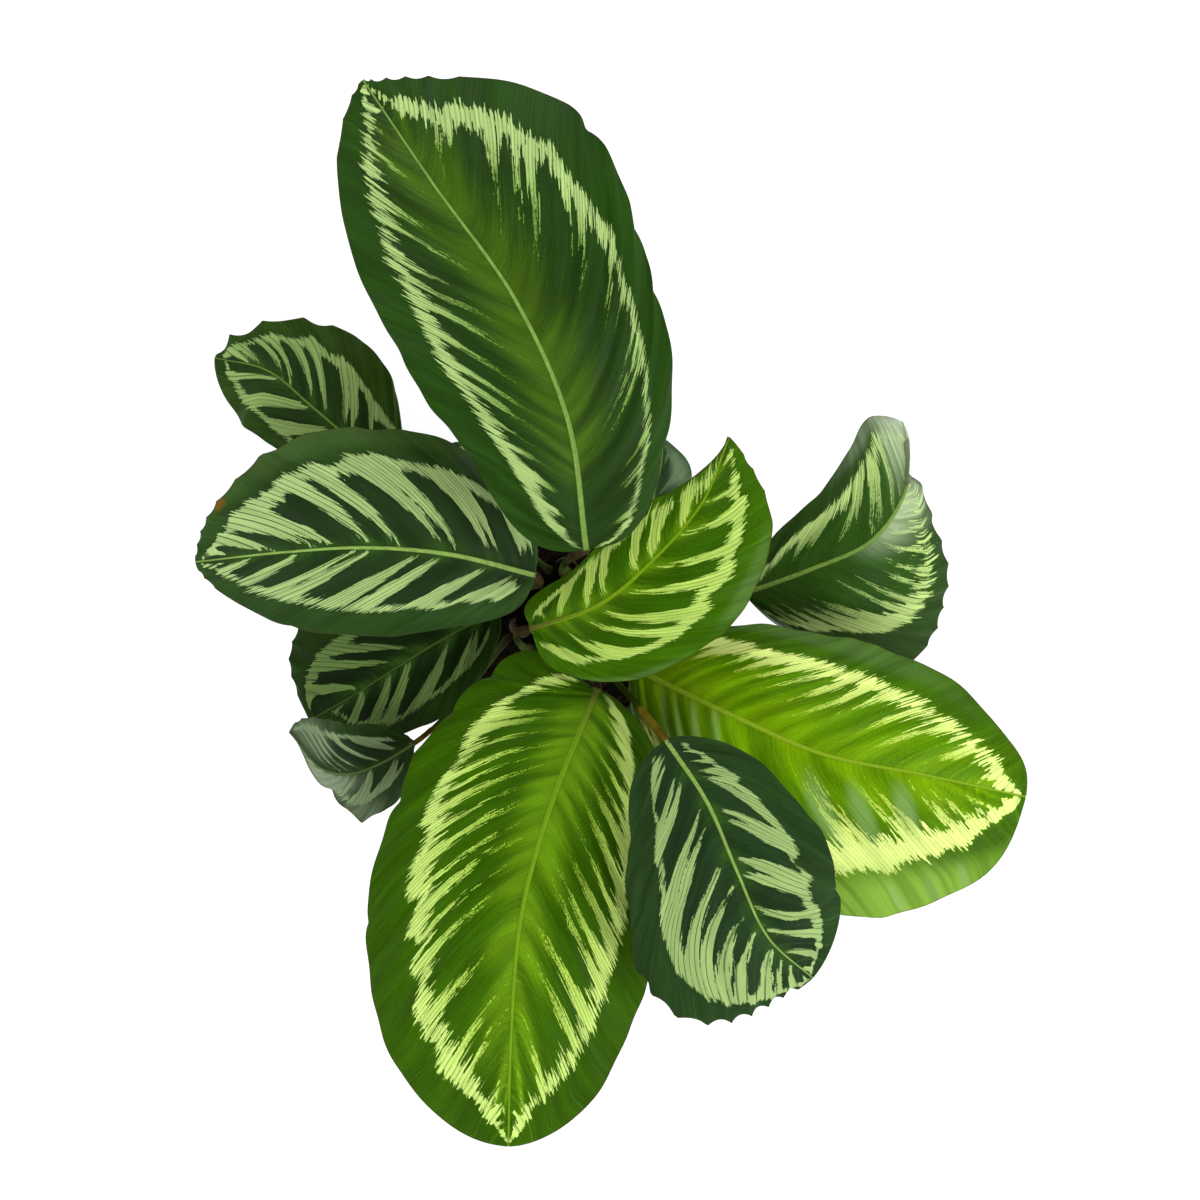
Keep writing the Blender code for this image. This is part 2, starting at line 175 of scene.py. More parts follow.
# ---------------------------------------------------------------- leaf markings
# Each side of a blade has a pale ring, given as knots (side vein, outer reach, inner reach),
# and pale bars that run in from it, given as (vein at the ring, vein at the inner end, half
# width in veins, reach of the inner end). Veins go from 0 at the stalk to 1 at the tip, and
# reach goes from 0 at the midrib to 1 at the margin.
MARKINGS = {
    "back_leaf": {
        "left": {
            "ring": ((.16, .12, .06), (.22, .2, .1), (.26, .3, .14), (.29, .4, .16), (.33, .44, .2),
                     (.36, .5, .22), (.39, .56, .24), (.43, .62, .42), (.46, .64, .5), (.5, .68, .55),
                     (.53, .75, .6), (.6, .77, .66), (.64, .76, .65), (.66, .79, .67), (.7, .78, .68),
                     (.72, .74, .66), (.75, .76, .63), (.8, .71, .58), (.85, .61, .47), (.89, .5, .3),
                     (.91, .5, .28), (.94, .46, .2), (.96, .3, .05)),
            "bars": ((.3, .31, .018, .14), (.355, .355, .012, .16), (.41, .415, .014, .15),
                     (.445, .452, .01, .25), (.48, .475, .006, .25), (.525, .505, .009, .2),
                     (.55, .53, .008, .2), (.59, .57, .009, .3), (.632, .605, .01, .14),
                     (.66, .636, .008, .2), (.685, .66, .005, .3), (.73, .69, .01, .14),
                     (.757, .727, .009, .25), (.825, .772, .011, .08), (.87, .848, .012, .24)),
        },
        "right": {
            "ring": ((.07, .55, .3), (.12, .62, .36), (.16, .7, .46), (.2, .7, .52), (.25, .65, .58),
                     (.3, .6, .54), (.35, .61, .55), (.42, .64, .59), (.47, .68, .62), (.5, .7, .64),
                     (.55, .69, .63), (.58, .73, .64), (.6, .71, .62), (.65, .71, .61), (.675, .78, .63),
                     (.7, .77, .6), (.75, .8, .6), (.8, .75, .5), (.83, .64, .42), (.85, .6, .37),
                     (.88, .47, .26), (.9, .4, .16), (.93, .28, .06), (.955, .12, 0)),
            "bars": ((.12, .14, .03, .2), (.235, .26, .022, .3), (.345, .36, .008, .3),
                     (.36, .375, .007, .3), (.395, .4, .008, .35), (.475, .48, .007, .26),
                     (.488, .498, .006, .24), (.503, .51, .006, .4), (.545, .545, .006, .45),
                     (.575, .565, .008, .4), (.63, .61, .009, .36), (.65, .63, .006, .4),
                     (.695, .664, .01, .18), (.715, .685, .006, .2), (.745, .71, .01, .17),
                     (.8, .775, .011, .25), (.815, .782, .01, .14), (.87, .845, .012, .12)),
        },
    },
    "left_leaf": {
        "left": {
            "ring": ((.27, .32, .2), (.3, .5, .28), (.34, .42, .24), (.37, .54, .34), (.4, .5, .38),
                     (.43, .64, .55), (.47, .64, .56), (.5, .66, .6), (.53, .71, .65), (.57, .74, .68),
                     (.65, .75, .68), (.75, .76, .69), (.8, .75, .65), (.83, .66, .58), (.87, .6, .46),
                     (.9, .46, .34), (.93, .4, .2), (.955, .2, .06)),
            "bars": ((.315, .338, .018, .12), (.35, .352, .014, .13), (.395, .375, .017, .1),
                     (.487, .467, .021, .08), (.59, .56, .017, .07), (.64, .597, .017, .08),
                     (.725, .667, .015, .05), (.755, .687, .011, .05), (.81, .757, .015, .03),
                     (.875, .83, .016, .05), (.915, .87, .012, .16)),
        },
        "right": {
            "ring": ((.2, .45, .3), (.26, .5, .34), (.3, .5, .3), (.34, .52, .34), (.37, .6, .5),
                     (.4, .65, .52), (.45, .7, .58), (.48, .7, .56), (.52, .72, .63), (.55, .77, .66),
                     (.59, .79, .62), (.625, .72, .65), (.65, .81, .66), (.68, .76, .68), (.7, .79, .66),
                     (.74, .74, .6), (.79, .76, .5), (.82, .7, .46), (.85, .6, .45), (.88, .5, .36),
                     (.91, .34, .18), (.94, .2, .04)),
            "bars": ((.3, .3, .02, .2), (.34, .335, .016, .16), (.45, .438, .014, .12),
                     (.478, .463, .014, .12), (.56, .532, .014, .06), (.588, .56, .014, .1),
                     (.655, .628, .012, .04), (.7, .665, .013, .06), (.785, .716, .018, .04),
                     (.81, .742, .014, .05), (.865, .802, .022, .03), (.905, .865, .014, .08)),
        },
    },
    "back_left_leaf": {
        "left": {
            "ring": ((.3, .5, .4), (.45, .64, .55), (.58, .68, .61), (.66, .7, .64), (.7, .75, .66),
                     (.76, .8, .68), (.8, .76, .6), (.84, .64, .52), (.87, .56, .42), (.895, .34, .14),
                     (.91, .1, 0)),
            "bars": ((.4, .38, .018, .15), (.5, .48, .02, .12), (.628, .612, .022, .1),
                     (.74, .678, .026, .05), (.856, .756, .019, .05)),
        },
        "right": {
            "ring": ((.3, .5, .42), (.42, .5, .4), (.5, .54, .38), (.54, .64, .54), (.6, .76, .64),
                     (.63, .74, .66), (.66, .84, .7), (.7, .78, .7), (.76, .79, .69), (.81, .78, .66),
                     (.86, .76, .5), (.89, .66, .3), (.92, .4, .1)),
            "bars": ((.4, .39, .014, .15), (.512, .508, .009, .18), (.57, .567, .013, .1),
                     (.592, .592, .01, .1), (.67, .64, .01, .07), (.71, .68, .01, .1),
                     (.75, .73, .008, .05), (.778, .752, .009, .05), (.83, .807, .011, .08),
                     (.865, .835, .016, .1)),
        },
    },
    "low_left_leaf": {
        "left": {
            "ring": ((.35, .35, .2), (.4, .5, .38), (.44, .58, .46), (.5, .6, .52), (.55, .68, .62),
                     (.6, .74, .66), (.65, .82, .76), (.7, .82, .76), (.76, .78, .7), (.8, .66, .58),
                     (.83, .42, .34), (.86, .16, .06)),
            "bars": ((.37, .36, .012, .2), (.45, .44, .018, .12), (.5, .463, .014, .15),
                     (.605, .56, .022, .12), (.687, .665, .015, .05), (.727, .71, .015, .05),
                     (.79, .775, .014, .03), (.845, .82, .012, .05)),
        },
        "right": {
            "ring": ((.3, .45, .38), (.5, .6, .5), (.68, .6, .5), (.78, .66, .53), (.82, .62, .5),
                     (.86, .62, .45), (.9, .5, .3), (.93, .35, .2)),
            "bars": ((.45, .42, .014, .15), (.56, .53, .016, .12), (.73, .65, .016, .13),
                     (.8, .693, .018, .09), (.875, .775, .026, .05)),
        },
    },
    "drooping_leaf": {
        "left": {
            "ring": ((.37, .3, .2), (.42, .55, .36), (.46, .64, .46), (.485, .82, .62), (.52, .9, .76),
                     (.58, .92, .82), (.68, .9, .8), (.78, .86, .76), (.86, .75, .6), (.92, .5, .3)),
            "bars": ((.445, .44, .017, .12), (.472, .466, .018, .1), (.52, .585, .021, .1),
                     (.585, .645, .008, .08), (.615, .672, .009, .05), (.65, .7, .008, .05),
                     (.69, .735, .01, .04), (.73, .77, .009, .04), (.775, .8, .01, .04)),
        },
        "right": {
            "ring": ((.4, .45, .35), (.47, .58, .48), (.52, .7, .56), (.56, .74, .66), (.62, .77, .69),
                     (.7, .8, .72), (.8, .82, .72), (.87, .78, .62), (.93, .65, .4)),
            "bars": ((.46, .37, .01, .22), (.535, .45, .03, .12), (.675, .555, .015, .1),
                     (.765, .635, .008, .1), (.8, .67, .008, .06), (.84, .7, .01, .05),
                     (.88, .735, .01, .05)),
        },
    },
    "front_leaf": {
        "left": {
            "ring": ((.15, .2, .1), (.2, .26, .12), (.23, .38, .15), (.28, .44, .2), (.34, .52, .34),
                     (.4, .6, .46), (.5, .7, .59), (.55, .75, .64), (.62, .76, .66), (.7, .77, .66),
                     (.75, .74, .64), (.8, .68, .56), (.84, .57, .42), (.87, .45, .3), (.9, .4, .22),
                     (.92, .36, .14), (.94, .27, .05), (.955, .16, 0), (.968, .05, 0)),
            "bars": ((.27, .285, .024, .13), (.31, .315, .02, .13), (.34, .34, .013, .14),
                     (.37, .395, .014, .15), (.42, .42, .011, .15), (.45, .448, .008, .2),
                     (.478, .475, .015, .15), (.522, .505, .014, .15), (.56, .54, .008, .2),
                     (.592, .572, .012, .2), (.63, .597, .011, .12), (.655, .615, .01, .12),
                     (.705, .667, .015, .08), (.747, .702, .013, .1), (.828, .762, .014, .1),
                     (.88, .828, .011, .12)),
        },
        "right": {
            "ring": ((.1, .42, .33), (.125, .5, .36), (.16, .52, .34), (.175, .5, .44), (.19, .54, .38),
                     (.225, .56, .38), (.24, .54, .46), (.27, .58, .48), (.29, .65, .54), (.33, .7, .56),
                     (.37, .7, .58), (.4, .68, .61), (.43, .73, .63), (.46, .76, .65), (.49, .76, .65),
                     (.505, .7, .61), (.54, .77, .64), (.57, .76, .64), (.585, .69, .62), (.61, .76, .62),
                     (.635, .68, .62), (.65, .76, .64), (.67, .7, .63), (.7, .77, .64), (.74, .76, .6),
                     (.755, .69, .58), (.78, .73, .53), (.81, .67, .44), (.84, .58, .37), (.87, .46, .24),
                     (.9, .38, .16), (.925, .3, .07), (.945, .16, .01), (.962, .05, 0)),
            "bars": ((.13, .145, .016, .24), (.158, .172, .007, .3), (.2, .21, .022, .18),
                     (.228, .238, .008, .2), (.258, .268, .008, .24), (.335, .36, .018, .2),
                     (.362, .385, .015, .15), (.4, .42, .008, .15), (.437, .452, .008, .12),
                     (.46, .47, .006, .15), (.485, .492, .01, .1), (.515, .518, .006, .15),
                     (.545, .54, .01, .08), (.578, .568, .006, .12), (.602, .587, .01, .1),
                     (.63, .615, .006, .15), (.657, .64, .009, .12), (.717, .692, .012, .1),
                     (.783, .737, .011, .07), (.81, .763, .011, .05), (.872, .822, .012, .05),
                     (.91, .868, .008, .05)),
        },
    },
    "front_right_leaf": {
        "left": {
            "ring": ((.22, .5, .38), (.3, .62, .5), (.36, .66, .5), (.4, .66, .46), (.44, .62, .52),
                     (.48, .68, .53), (.52, .72, .58), (.56, .74, .63), (.6, .77, .66), (.66, .75, .66),
                     (.7, .74, .66), (.76, .73, .64), (.8, .7, .57), (.83, .68, .48), (.86, .65, .35),
                     (.88, .5, .15), (.9, .36, .02), (.93, .3, 0), (.955, .1, 0)),
            "bars": ((.3, .29, .018, .3), (.355, .345, .014, .3), (.395, .39, .016, .25),
                     (.42, .412, .01, .4), (.455, .45, .006, .35), (.485, .484, .012, .3),
                     (.52, .507, .011, .3), (.55, .54, .006, .3), (.59, .575, .01, .25),
                     (.627, .605, .011, .2), (.66, .64, .008, .4), (.705, .68, .009, .3),
                     (.75, .71, .012, .17), (.805, .785, .012, .2), (.87, .86, .016, .1)),
        },
        "right": {
            "ring": ((.25, .6, .5), (.4, .66, .54), (.5, .7, .58), (.55, .73, .56), (.62, .74, .56),
                     (.66, .72, .52), (.7, .74, .5), (.74, .69, .47), (.77, .7, .45), (.8, .64, .44),
                     (.83, .66, .4), (.86, .52, .34), (.9, .42, .2), (.93, .32, .12), (.955, .18, .04)),
            "bars": ((.34, .32, .012, .25), (.43, .41, .012, .25), (.475, .455, .006, .25),
                     (.52, .5, .012, .22), (.56, .54, .006, .2), (.6, .575, .011, .2),
                     (.668, .64, .01, .18), (.685, .652, .01, .1), (.742, .702, .01, .14),
                     (.76, .717, .01, .12), (.815, .765, .013, .05), (.845, .792, .011, .1),
                     (.885, .832, .01, .1), (.92, .88, .008, .08)),
        },
    },
    "upper_front_leaf": {
        "left": {
            "ring": ((.28, .24, .18), (.31, .25, .18), (.35, .2, .16), (.38, .3, .24), (.43, .33, .28),
                     (.46, .45, .32), (.48, .38, .3), (.5, .5, .36), (.53, .56, .46), (.55, .64, .56),
                     (.57, .68, .58), (.6, .7, .62), (.612, .64, .6), (.625, .64, .6), (.63, .77, .68),
                     (.65, .73, .65), (.67, .7, .6), (.73, .7, .59), (.78, .72, .6), (.85, .71, .58),
                     (.88, .68, .55), (.9, .56, .44), (.92, .34, .2), (.94, .2, .06), (.955, .05, 0)),
            "bars": ((.37, .37, .007, .12), (.42, .425, .008, .12), (.46, .462, .013, .13),
                     (.485, .483, .008, .14), (.53, .487, .012, .12), (.578, .562, .012, .09),
                     (.596, .582, .013, .12), (.66, .655, .016, .07), (.684, .68, .012, .07),
                     (.765, .736, .012, .05), (.835, .772, .013, .05), (.89, .826, .013, .01),
                     (.925, .905, .012, .02)),
        },
        "right": {
            "ring": ((.22, .3, .26), (.26, .34, .28), (.3, .4, .34), (.34, .44, .4), (.38, .5, .46),
                     (.41, .52, .49), (.44, .51, .48), (.48, .56, .5), (.52, .6, .54), (.56, .57, .52),
                     (.6, .64, .56), (.64, .71, .58), (.67, .76, .64), (.7, .8, .68), (.74, .83, .73),
                     (.8, .83, .73), (.86, .83, .7), (.9, .84, .66), (.94, .8, .45), (.965, .5, .15)),
            "bars": ((.29, .29, .018, .15), (.325, .325, .018, .13), (.37, .362, .012, .16),
                     (.465, .432, .013, .12), (.51, .462, .019, .12), (.62, .547, .013, .08),
                     (.655, .58, .012, .1), (.705, .65, .0115, .1), (.732, .69, .01, .08),
                     (.757, .732, .01, .1), (.782, .765, .009, .1), (.83, .807, .013, .08),
                     (.865, .838, .01, .12), (.905, .865, .013, .1), (.945, .91, .013, .1)),
        },
    },
    "centre_leaf": {
        "left": {
            "ring": ((.2, .42, .3), (.24, .5, .3), (.27, .6, .34), (.3, .7, .44), (.33, .8, .64),
                     (.36, .86, .74), (.4, .87, .81), (.47, .86, .79), (.52, .85, .8), (.58, .88, .82),
                     (.62, .88, .82), (.67, .8, .75), (.7, .85, .78), (.73, .84, .77), (.76, .74, .68),
                     (.79, .62, .54), (.81, .5, .38), (.83, .36, .2), (.845, .14, 0)),
            "bars": ((.265, .34, .016, .14), (.345, .425, .026, .08), (.435, .512, .021, .06),
                     (.482, .556, .014, .07), (.575, .63, .014, .05), (.633, .668, .018, .05),
                     (.715, .728, .019, .04), (.8, .812, .012, .02)),
        },
        "right": {
            "ring": ((.17, .4, .33), (.22, .42, .3), (.26, .48, .26), (.3, .6, .3), (.34, .58, .36),
                     (.38, .53, .47), (.42, .6, .5), (.46, .65, .54), (.5, .73, .62), (.53, .72, .62),
                     (.56, .78, .65), (.6, .68, .61), (.64, .79, .64), (.68, .72, .62), (.7, .76, .63),
                     (.73, .73, .62), (.76, .76, .58), (.79, .66, .5), (.82, .66, .48), (.86, .63, .48),
                     (.88, .62, .46), (.9, .56, .4), (.92, .36, .25)),
            "bars": ((.29, .285, .022, .25), (.335, .33, .02, .27), (.43, .424, .013, .15),
                     (.452, .45, .012, .28), (.517, .5, .012, .1), (.562, .54, .015, .1),
                     (.638, .6, .012, .08), (.692, .66, .01, .12), (.757, .725, .013, .06),
                     (.797, .785, .007, .08), (.89, .85, .012, .1)),
        },
    },
    "right_leaf": {
        "left": {
            "ring": ((.2, .2, .1), (.32, .24, .14), (.38, .34, .2), (.41, .48, .28), (.45, .6, .44),
                     (.475, .66, .52), (.5, .7, .58), (.55, .73, .64), (.58, .78, .68), (.64, .8, .71),
                     (.7, .8, .71), (.74, .73, .65), (.77, .6, .5), (.8, .42, .34), (.83, .22, .12)),
            "bars": ((.34, .32, .02, .12), (.476, .472, .013, .2), (.505, .5, .013, .24),
                     (.59, .565, .011, .24), (.6, .59, .008, .3), (.632, .632, .009, .1),
                     (.652, .65, .01, .05), (.705, .678, .01, .03), (.735, .7, .008, .04),
                     (.765, .73, .009, .03), (.795, .77, .01, .03)),
        },
        "right": {
            "ring": ((.14, .42, .38), (.2, .48, .42), (.25, .47, .38), (.29, .44, .36), (.32, .5, .4),
                     (.352, .52, .44), (.37, .6, .5), (.4, .72, .56), (.44, .83, .66), (.47, .87, .77),
                     (.5, .89, .81), (.56, .89, .83), (.62, .88, .83), (.67, .86, .8), (.72, .8, .7)),
            "bars": ((.185, .18, .007, .28), (.215, .21, .008, .22), (.245, .24, .008, .18),
                     (.275, .27, .008, .18), (.325, .315, .009, .16), (.355, .35, .01, .14),
                     (.385, .385, .01, .25), (.405, .41, .012, .32), (.432, .435, .012, .28),
                     (.462, .508, .006, .24), (.478, .53, .006, .32), (.5, .545, .005, .5),
                     (.522, .57, .005, .45), (.55, .605, .005, .3), (.58, .635, .006, .2),
                     (.615, .665, .007, .1), (.65, .7, .009, .05), (.685, .735, .011, .03)),
        },
    },
}
MARKINGS["small_back_leaf"] = MARKINGS["tucked_leaf"] = {
    "left": {
        "ring": ((.2, .45, .3), (.5, .7, .58), (.75, .72, .6), (.9, .4, .2)),
        "bars": ((.3, .28, .02, .15), (.45, .42, .02, .12), (.6, .56, .018, .1), (.74, .7, .018, .1)),
    },
    "right": {
        "ring": ((.2, .45, .3), (.5, .7, .58), (.75, .72, .6), (.9, .4, .2)),
        "bars": ((.26, .25, .018, .15), (.4, .38, .02, .12), (.55, .52, .018, .1), (.7, .66, .02, .1),
                 (.82, .78, .014, .1)),
    },
}

# ---------------------------------------------------------------- leaf finishes
# Colours are linear. "ring_share" thins the ring, "comb" under 1 frays its inner side, and
# "fullness" widens every bar. "feather" is how ragged the pale edges are, in millimetres: by
# hair-thin strands, by the strips between veinlets, and by broad strokes.
# "speckle" is how far the bars break into strands and flecks towards the midrib, and "veinlets"
# the spacing in millimetres and the strength of the thin dark lines in the pale parts. "glow" is
# the lighter zone along the midrib: strength, width in millimetres and the two veins that it lies
# between; "glow_gap" is how much of it there is between the bars. "patches" are mostly painted sheen
# and painted light on sunlit, pleated or folded places, with a few dark streaks and a scorch mark
# among them: side, vein, reach, the two half sizes, strength and colour. "gloss" is how strongly the
# surface reflects, and "rib_base" how far along the blade the midrib is browned, in surface units.
# Painted sheen: the grey-white reflection on drooping and tilted parts of a blade.
GREY_SHEEN = (.2, .27, .16)
DARK = {
    "lobe": (.014, .036, .009), "margin": (.02, .052, .009), "pale": (.35, .52, .18),
    "dots": (.2, .33, .08), "glow_colour": (.03, .08, .01), "rib": (.29, .46, .1), "rib_width": 1.15,
    "ring_share": 1.0, "comb": 1.0, "fullness": 1.05, "feather": (.5, .25, .5), "speckle": .15,
    "veinlets": (2.2, .7), "glow": (.6, 7, .3, .98), "glow_gap": .4, "patches": (), "pleat_height": .55,
    "wave": (2.0, 3.0), "gloss": .05, "rib_base": .2,
}
BRIGHT = {
    "lobe": (.032, .1, .0003), "margin": (.032, .095, .0003), "pale": (.57, .78, .19),
    "dots": (.36, .58, .03), "glow_colour": (.115, .25, .004), "rib": (.18, .33, .012), "rib_width": 1.4,
    "ring_share": .85, "comb": .5, "fullness": .72, "feather": (1.3, .5, 1.2), "speckle": 1.0,
    "veinlets": (1.6, .6), "glow": (1.0, 15, .2, .97), "glow_gap": .3, "patches": (), "pleat_height": .65,
    "wave": (2.5, 3.5), "gloss": .04, "rib_base": .2,
}
SUNLIT = (.23, .42, .045)
SHEEN = (.33, .46, .2)
PLEAT = (.26, .42, .13)    # the light on the side of a pleat
FOLD = (.4, .52, .29)      # the light on a blade that is folded over
SCORCH = (.2, .08, .004)
FINISHES = {
    "back_leaf": {**BRIGHT, "lobe": (.015, .046, .005), "margin": (.016, .056, .003), "fullness": .62,
                  "ring_share": .62, "comb": .6, "gloss": .08, "veinlets": (1.4, .5), "glow_gap": .5,
                  "pale": (.42, .6, .2), "dots": (.15, .3, .02), "glow_colour": (.05, .115, .005),
                  "rib": (.22, .36, .07), "rib_width": 1.25, "glow": (.9, 18, .36, .95)},
    # Its patches: a darker zone on the left side, a lighter green one on the right, painted grey-white
    # sheen, and a small scorch mark.
    "left_leaf": {**DARK, "pale": (.38, .54, .2), "veinlets": (2.2, .9), "feather": (.8, .25, .8),
                  "speckle": .3, "comb": .8, "margin": (.022, .06, .01),
                  "patches": (("left", .5, .95, .55, .2, .4, (.013, .036, .006)),
                              ("right", .55, .95, .4, .15, .38, (.06, .13, .014)),
                              ("right", .3, .82, .12, .25, .25, GREY_SHEEN),
                              ("right", .6, .97, .3, .14, .06, GREY_SHEEN),
                              ("right", .822, .96, .02, .09, .8, SCORCH))},
    "back_left_leaf": {**DARK, "lobe": (.013, .036, .006), "margin": (.02, .052, .004),
                       "pale": (.24, .37, .11), "rib": (.15, .27, .045), "rib_width": .8},
    # Painted shade: every colour is darkened well below the other dark leaves', for the shade it lies in
    # under the leaves above.
    "low_left_leaf": {**DARK, "lobe": (.005, .0145, .0025), "margin": (.01, .029, .0025),
                      "feather": (.6, .2, .5), "speckle": .1, "gloss": .01,
                      "pale": (.1, .17, .045), "rib": (.05, .1, .015), "rib_width": .8},
    # Its patches are a painted grey-white sheen where the blade droops.
    "drooping_leaf": {**DARK, "pale": (.24, .35, .16), "lobe": (.018, .038, .014), "rib": (.13, .2, .05),
                      "rib_width": .7, "feather": (.4, .15, .4), "speckle": 0.0,
                      "patches": (("left", .7, .75, .17, .9, .85, (.24, .31, .2)),
                                  ("left", .46, 1.0, .1, .4, .7, GREY_SHEEN),
                                  ("right", .85, .6, .16, .6, .6, GREY_SHEEN))},
    "front_leaf": {**BRIGHT, "fullness": .66, "rib_base": 1.0},
    # Painted light: its colours are a young leaf's own lighter green, raised further as painted light; the
    # sunlit patch is a painted pool of light, the pleat patches painted highlights, and the grey one
    # painted sheen.
    "front_right_leaf": {**BRIGHT, "lobe": (.07, .19, .0005), "margin": (.043, .122, .001), "speckle": .85,
                         "pale": (.76, .92, .26), "dots": (.42, .62, .02), "glow_colour": (.16, .33, .001),
                         "glow": (.9, 26, .15, .99), "glow_gap": .35, "rib": (.26, .4, .02),
                         "rib_width": 1.3, "veinlets": (1.6, .3),
                         "patches": (("right", .7, .95, .25, .3, .9, SUNLIT),
                                     ("left", .45, .93, .35, .12, .18, GREY_SHEEN),
                                     ("right", .41, .25, .013, .3, .5, PLEAT),
                                     ("right", .45, .3, .01, .3, .5, PLEAT),
                                     ("right", .49, .2, .011, .24, .5, PLEAT),
                                     ("right", .53, .14, .008, .2, .5, PLEAT),
                                     ("right", .655, .38, .018, .28, .6, PLEAT),
                                     ("right", .7, .36, .016, .26, .55, PLEAT),
                                     ("right", .755, .32, .018, .26, .6, PLEAT),
                                     ("right", .69, .93, .012, .16, .5, PLEAT),
                                     ("right", .75, .93, .012, .16, .5, PLEAT),
                                     ("right", .81, .9, .012, .16, .5, PLEAT))},
    "upper_front_leaf": {**DARK, "lobe": (.014, .036, .011), "margin": (.018, .048, .011),
                         "rib_width": 1.05, "pale": (.31, .45, .155), "rib": (.27, .42, .09),
                         "feather": (.7, .25, .3), "gloss": .03},
    # Its patches are a painted sheen near the right margin.
    "centre_leaf": {**BRIGHT, "lobe": (.03, .098, .0003), "margin": (.041, .123, .0003), "fullness": 1.0,
                    "ring_share": 1.0, "comb": .8, "speckle": .4, "feather": (.8, .35, .8),
                    "glow": (.7, 10, .2, .97), "pale": (.47, .67, .14), "rib_width": 1.15,
                    "rib": (.2, .35, .008), "rib_base": .68,
                    "patches": (("right", .33, .95, .12, .09, .14, SHEEN),
                                ("right", .6, .95, .12, .09, .14, SHEEN))},
    # Its patches are painted light: pale light on the folded-over parts and a grey-white sheen near the
    # margin.
    "right_leaf": {**DARK, "lobe": (.024, .075, .006), "margin": (.019, .055, .006), "pale": (.46, .64, .2),
                   "rib": (.2, .33, .06), "comb": .6, "speckle": .8, "feather": (1.1, .4, .9),
                   "patches": (("left", .79, .5, .11, .75, .85, FOLD),
                               ("left", .93, .5, .1, .9, .85, FOLD),
                               ("left", .66, .97, .2, .12, .5, GREY_SHEEN),
                               ("right", .9, .5, .12, .9, .85, FOLD),
                               ("right", .68, .55, .12, .9, .85, FOLD),
                               ("right", .79, .5, .12, .9, .85, FOLD))},
    # Its patches: a painted grey-green sheen across its middle, crossed by two dark streaks.
    "small_back_leaf": {**DARK, "lobe": (.03, .065, .03), "margin": (.045, .1, .035), "rib_width": .5,
                        "pale": (.12, .2, .09), "feather": (.3, .1, .4),
                        "patches": (("right", .62, .68, .3, .34, .85, (.19, .29, .16)),
                                    ("right", .5, .5, .035, .4, .85, (.03, .065, .045)),
                                    ("right", .66, .5, .02, .3, .7, (.04, .085, .05)))},
    "tucked_leaf": {**DARK, "rib_width": .5},
}

# Scallops: side, veins of the sharp cusps, and how deep the margin is scooped between them in
# millimetres. Dents: side, vein, half span in veins, depth; a negative depth bulges.
SCALLOPS = {
    "back_leaf": (("right", (.8, .84, .875, .91, .95, .98), 1.5), ("left", (.8, .87, .93, .97), .8)),
    "left_leaf": (("right", (.45, .52, .6, .7, .76, .82, .865, .905, .945, .98), 1.1),
                  ("left", (.86, .91, .95), .7)),
    "back_left_leaf": (("right", (.605, .655, .735, .84), 2.3), ("right", (.84, .955), 1.2)),
    "low_left_leaf": (("right", (.74, .8, .86, .91, .95), 1.0),),
    "drooping_leaf": (("right", (.6, .7, .8, .88, .93), .7),),
    "upper_front_leaf": (("right", (.61, .645, .685, .73, .77, .81, .85, .89, .93), 2.8),),
    "centre_leaf": (("right", (.7, .76, .82, .87), .8),),
    "right_leaf": (("right", (.395, .425, .455, .485, .515, .545, .58, .62, .67, .73), 1.5),),
}
DENTS = {
    "back_left_leaf": (("right", .84, .07, -2.6),),
    "back_leaf": (("right", .435, .03, 2.2), ("right", .505, .035, 2.8), ("right", .607, .03, 2.4),
                  ("right", .27, .05, 1.8)),
    "drooping_leaf": (("left", .45, .07, -4.0), ("left", .6, .06, 2.8)),
    "front_leaf": (("right", .225, .03, 3.2), ("right", .285, .02, 2.4), ("right", .4, .03, 2.2),
                   ("right", .54, .02, 1.2), ("right", .34, .03, -1.2)),
    "left_leaf": (("right", .69, .04, -1.2), ("left", .66, .05, 1.0)),
    "centre_leaf": (("left", .6, .04, -1.2),),
    "right_leaf": (("right", .57, .08, 2.4), ("right", .65, .035, 5.0)),
}

# Points along and across a blade: more rows on the large ones, and closer at midrib and margin.
BLADE_ROWS = {"back_leaf": 280, "front_leaf": 280, "front_right_leaf": 260, "left_leaf": 240,
              "small_back_leaf": 90, "tucked_leaf": 90}
USUAL_ROWS = 200
BLADE_START = 0.012        # the first and the last vein of the sheet
BLADE_END = 0.992
REACHES = (0, .012, .024, .036, .055, .085, .12, .155, .19, .225, .26, .3, .34, .38, .42, .46, .5, .54,
           .58, .62, .66, .7, .74, .78, .82, .86, .9, .93, .96, .985, 1)
BLADE_THICKNESS = 0.5      # at the midrib; half of it at the margin
KEEL_RADIUS = 2.1          # of the midrib where it leaves the stalk
KEEL_TIP_RADIUS = 0.35
PLEATED_WIDTH = 50.0       # half width of a blade whose pleats and waves have their full height


# ================================================================ shapes
def smooth_through(points, at):
    """Points at the fractions `at` of a smooth curve through evenly stepped points or numbers."""
    points = np.asarray(points, float)
    last = len(points) - 1
    place = np.clip(at, 0.0, 1.0) * last
    step = np.minimum(place.astype(int), last - 1)
    f = place - step
    if points.ndim > 1:
        f = f[..., None]
    ends = np.concatenate([[2 * points[0] - points[1]], points, [2 * points[-1] - points[-2]]])
    p0, p1, p2, p3 = (ends[step + i] for i in range(4))
    return 0.5 * (2 * p1 + (p2 - p0) * f + (2 * p0 - 5 * p1 + 4 * p2 - p3) * f * f
                  + (3 * p1 - p0 - 3 * p2 + p3) * f ** 3)


def unit(vectors):
    """The same directions with a length of one."""
    return vectors / np.maximum(np.linalg.norm(vectors, axis=-1, keepdims=True), 1e-9)


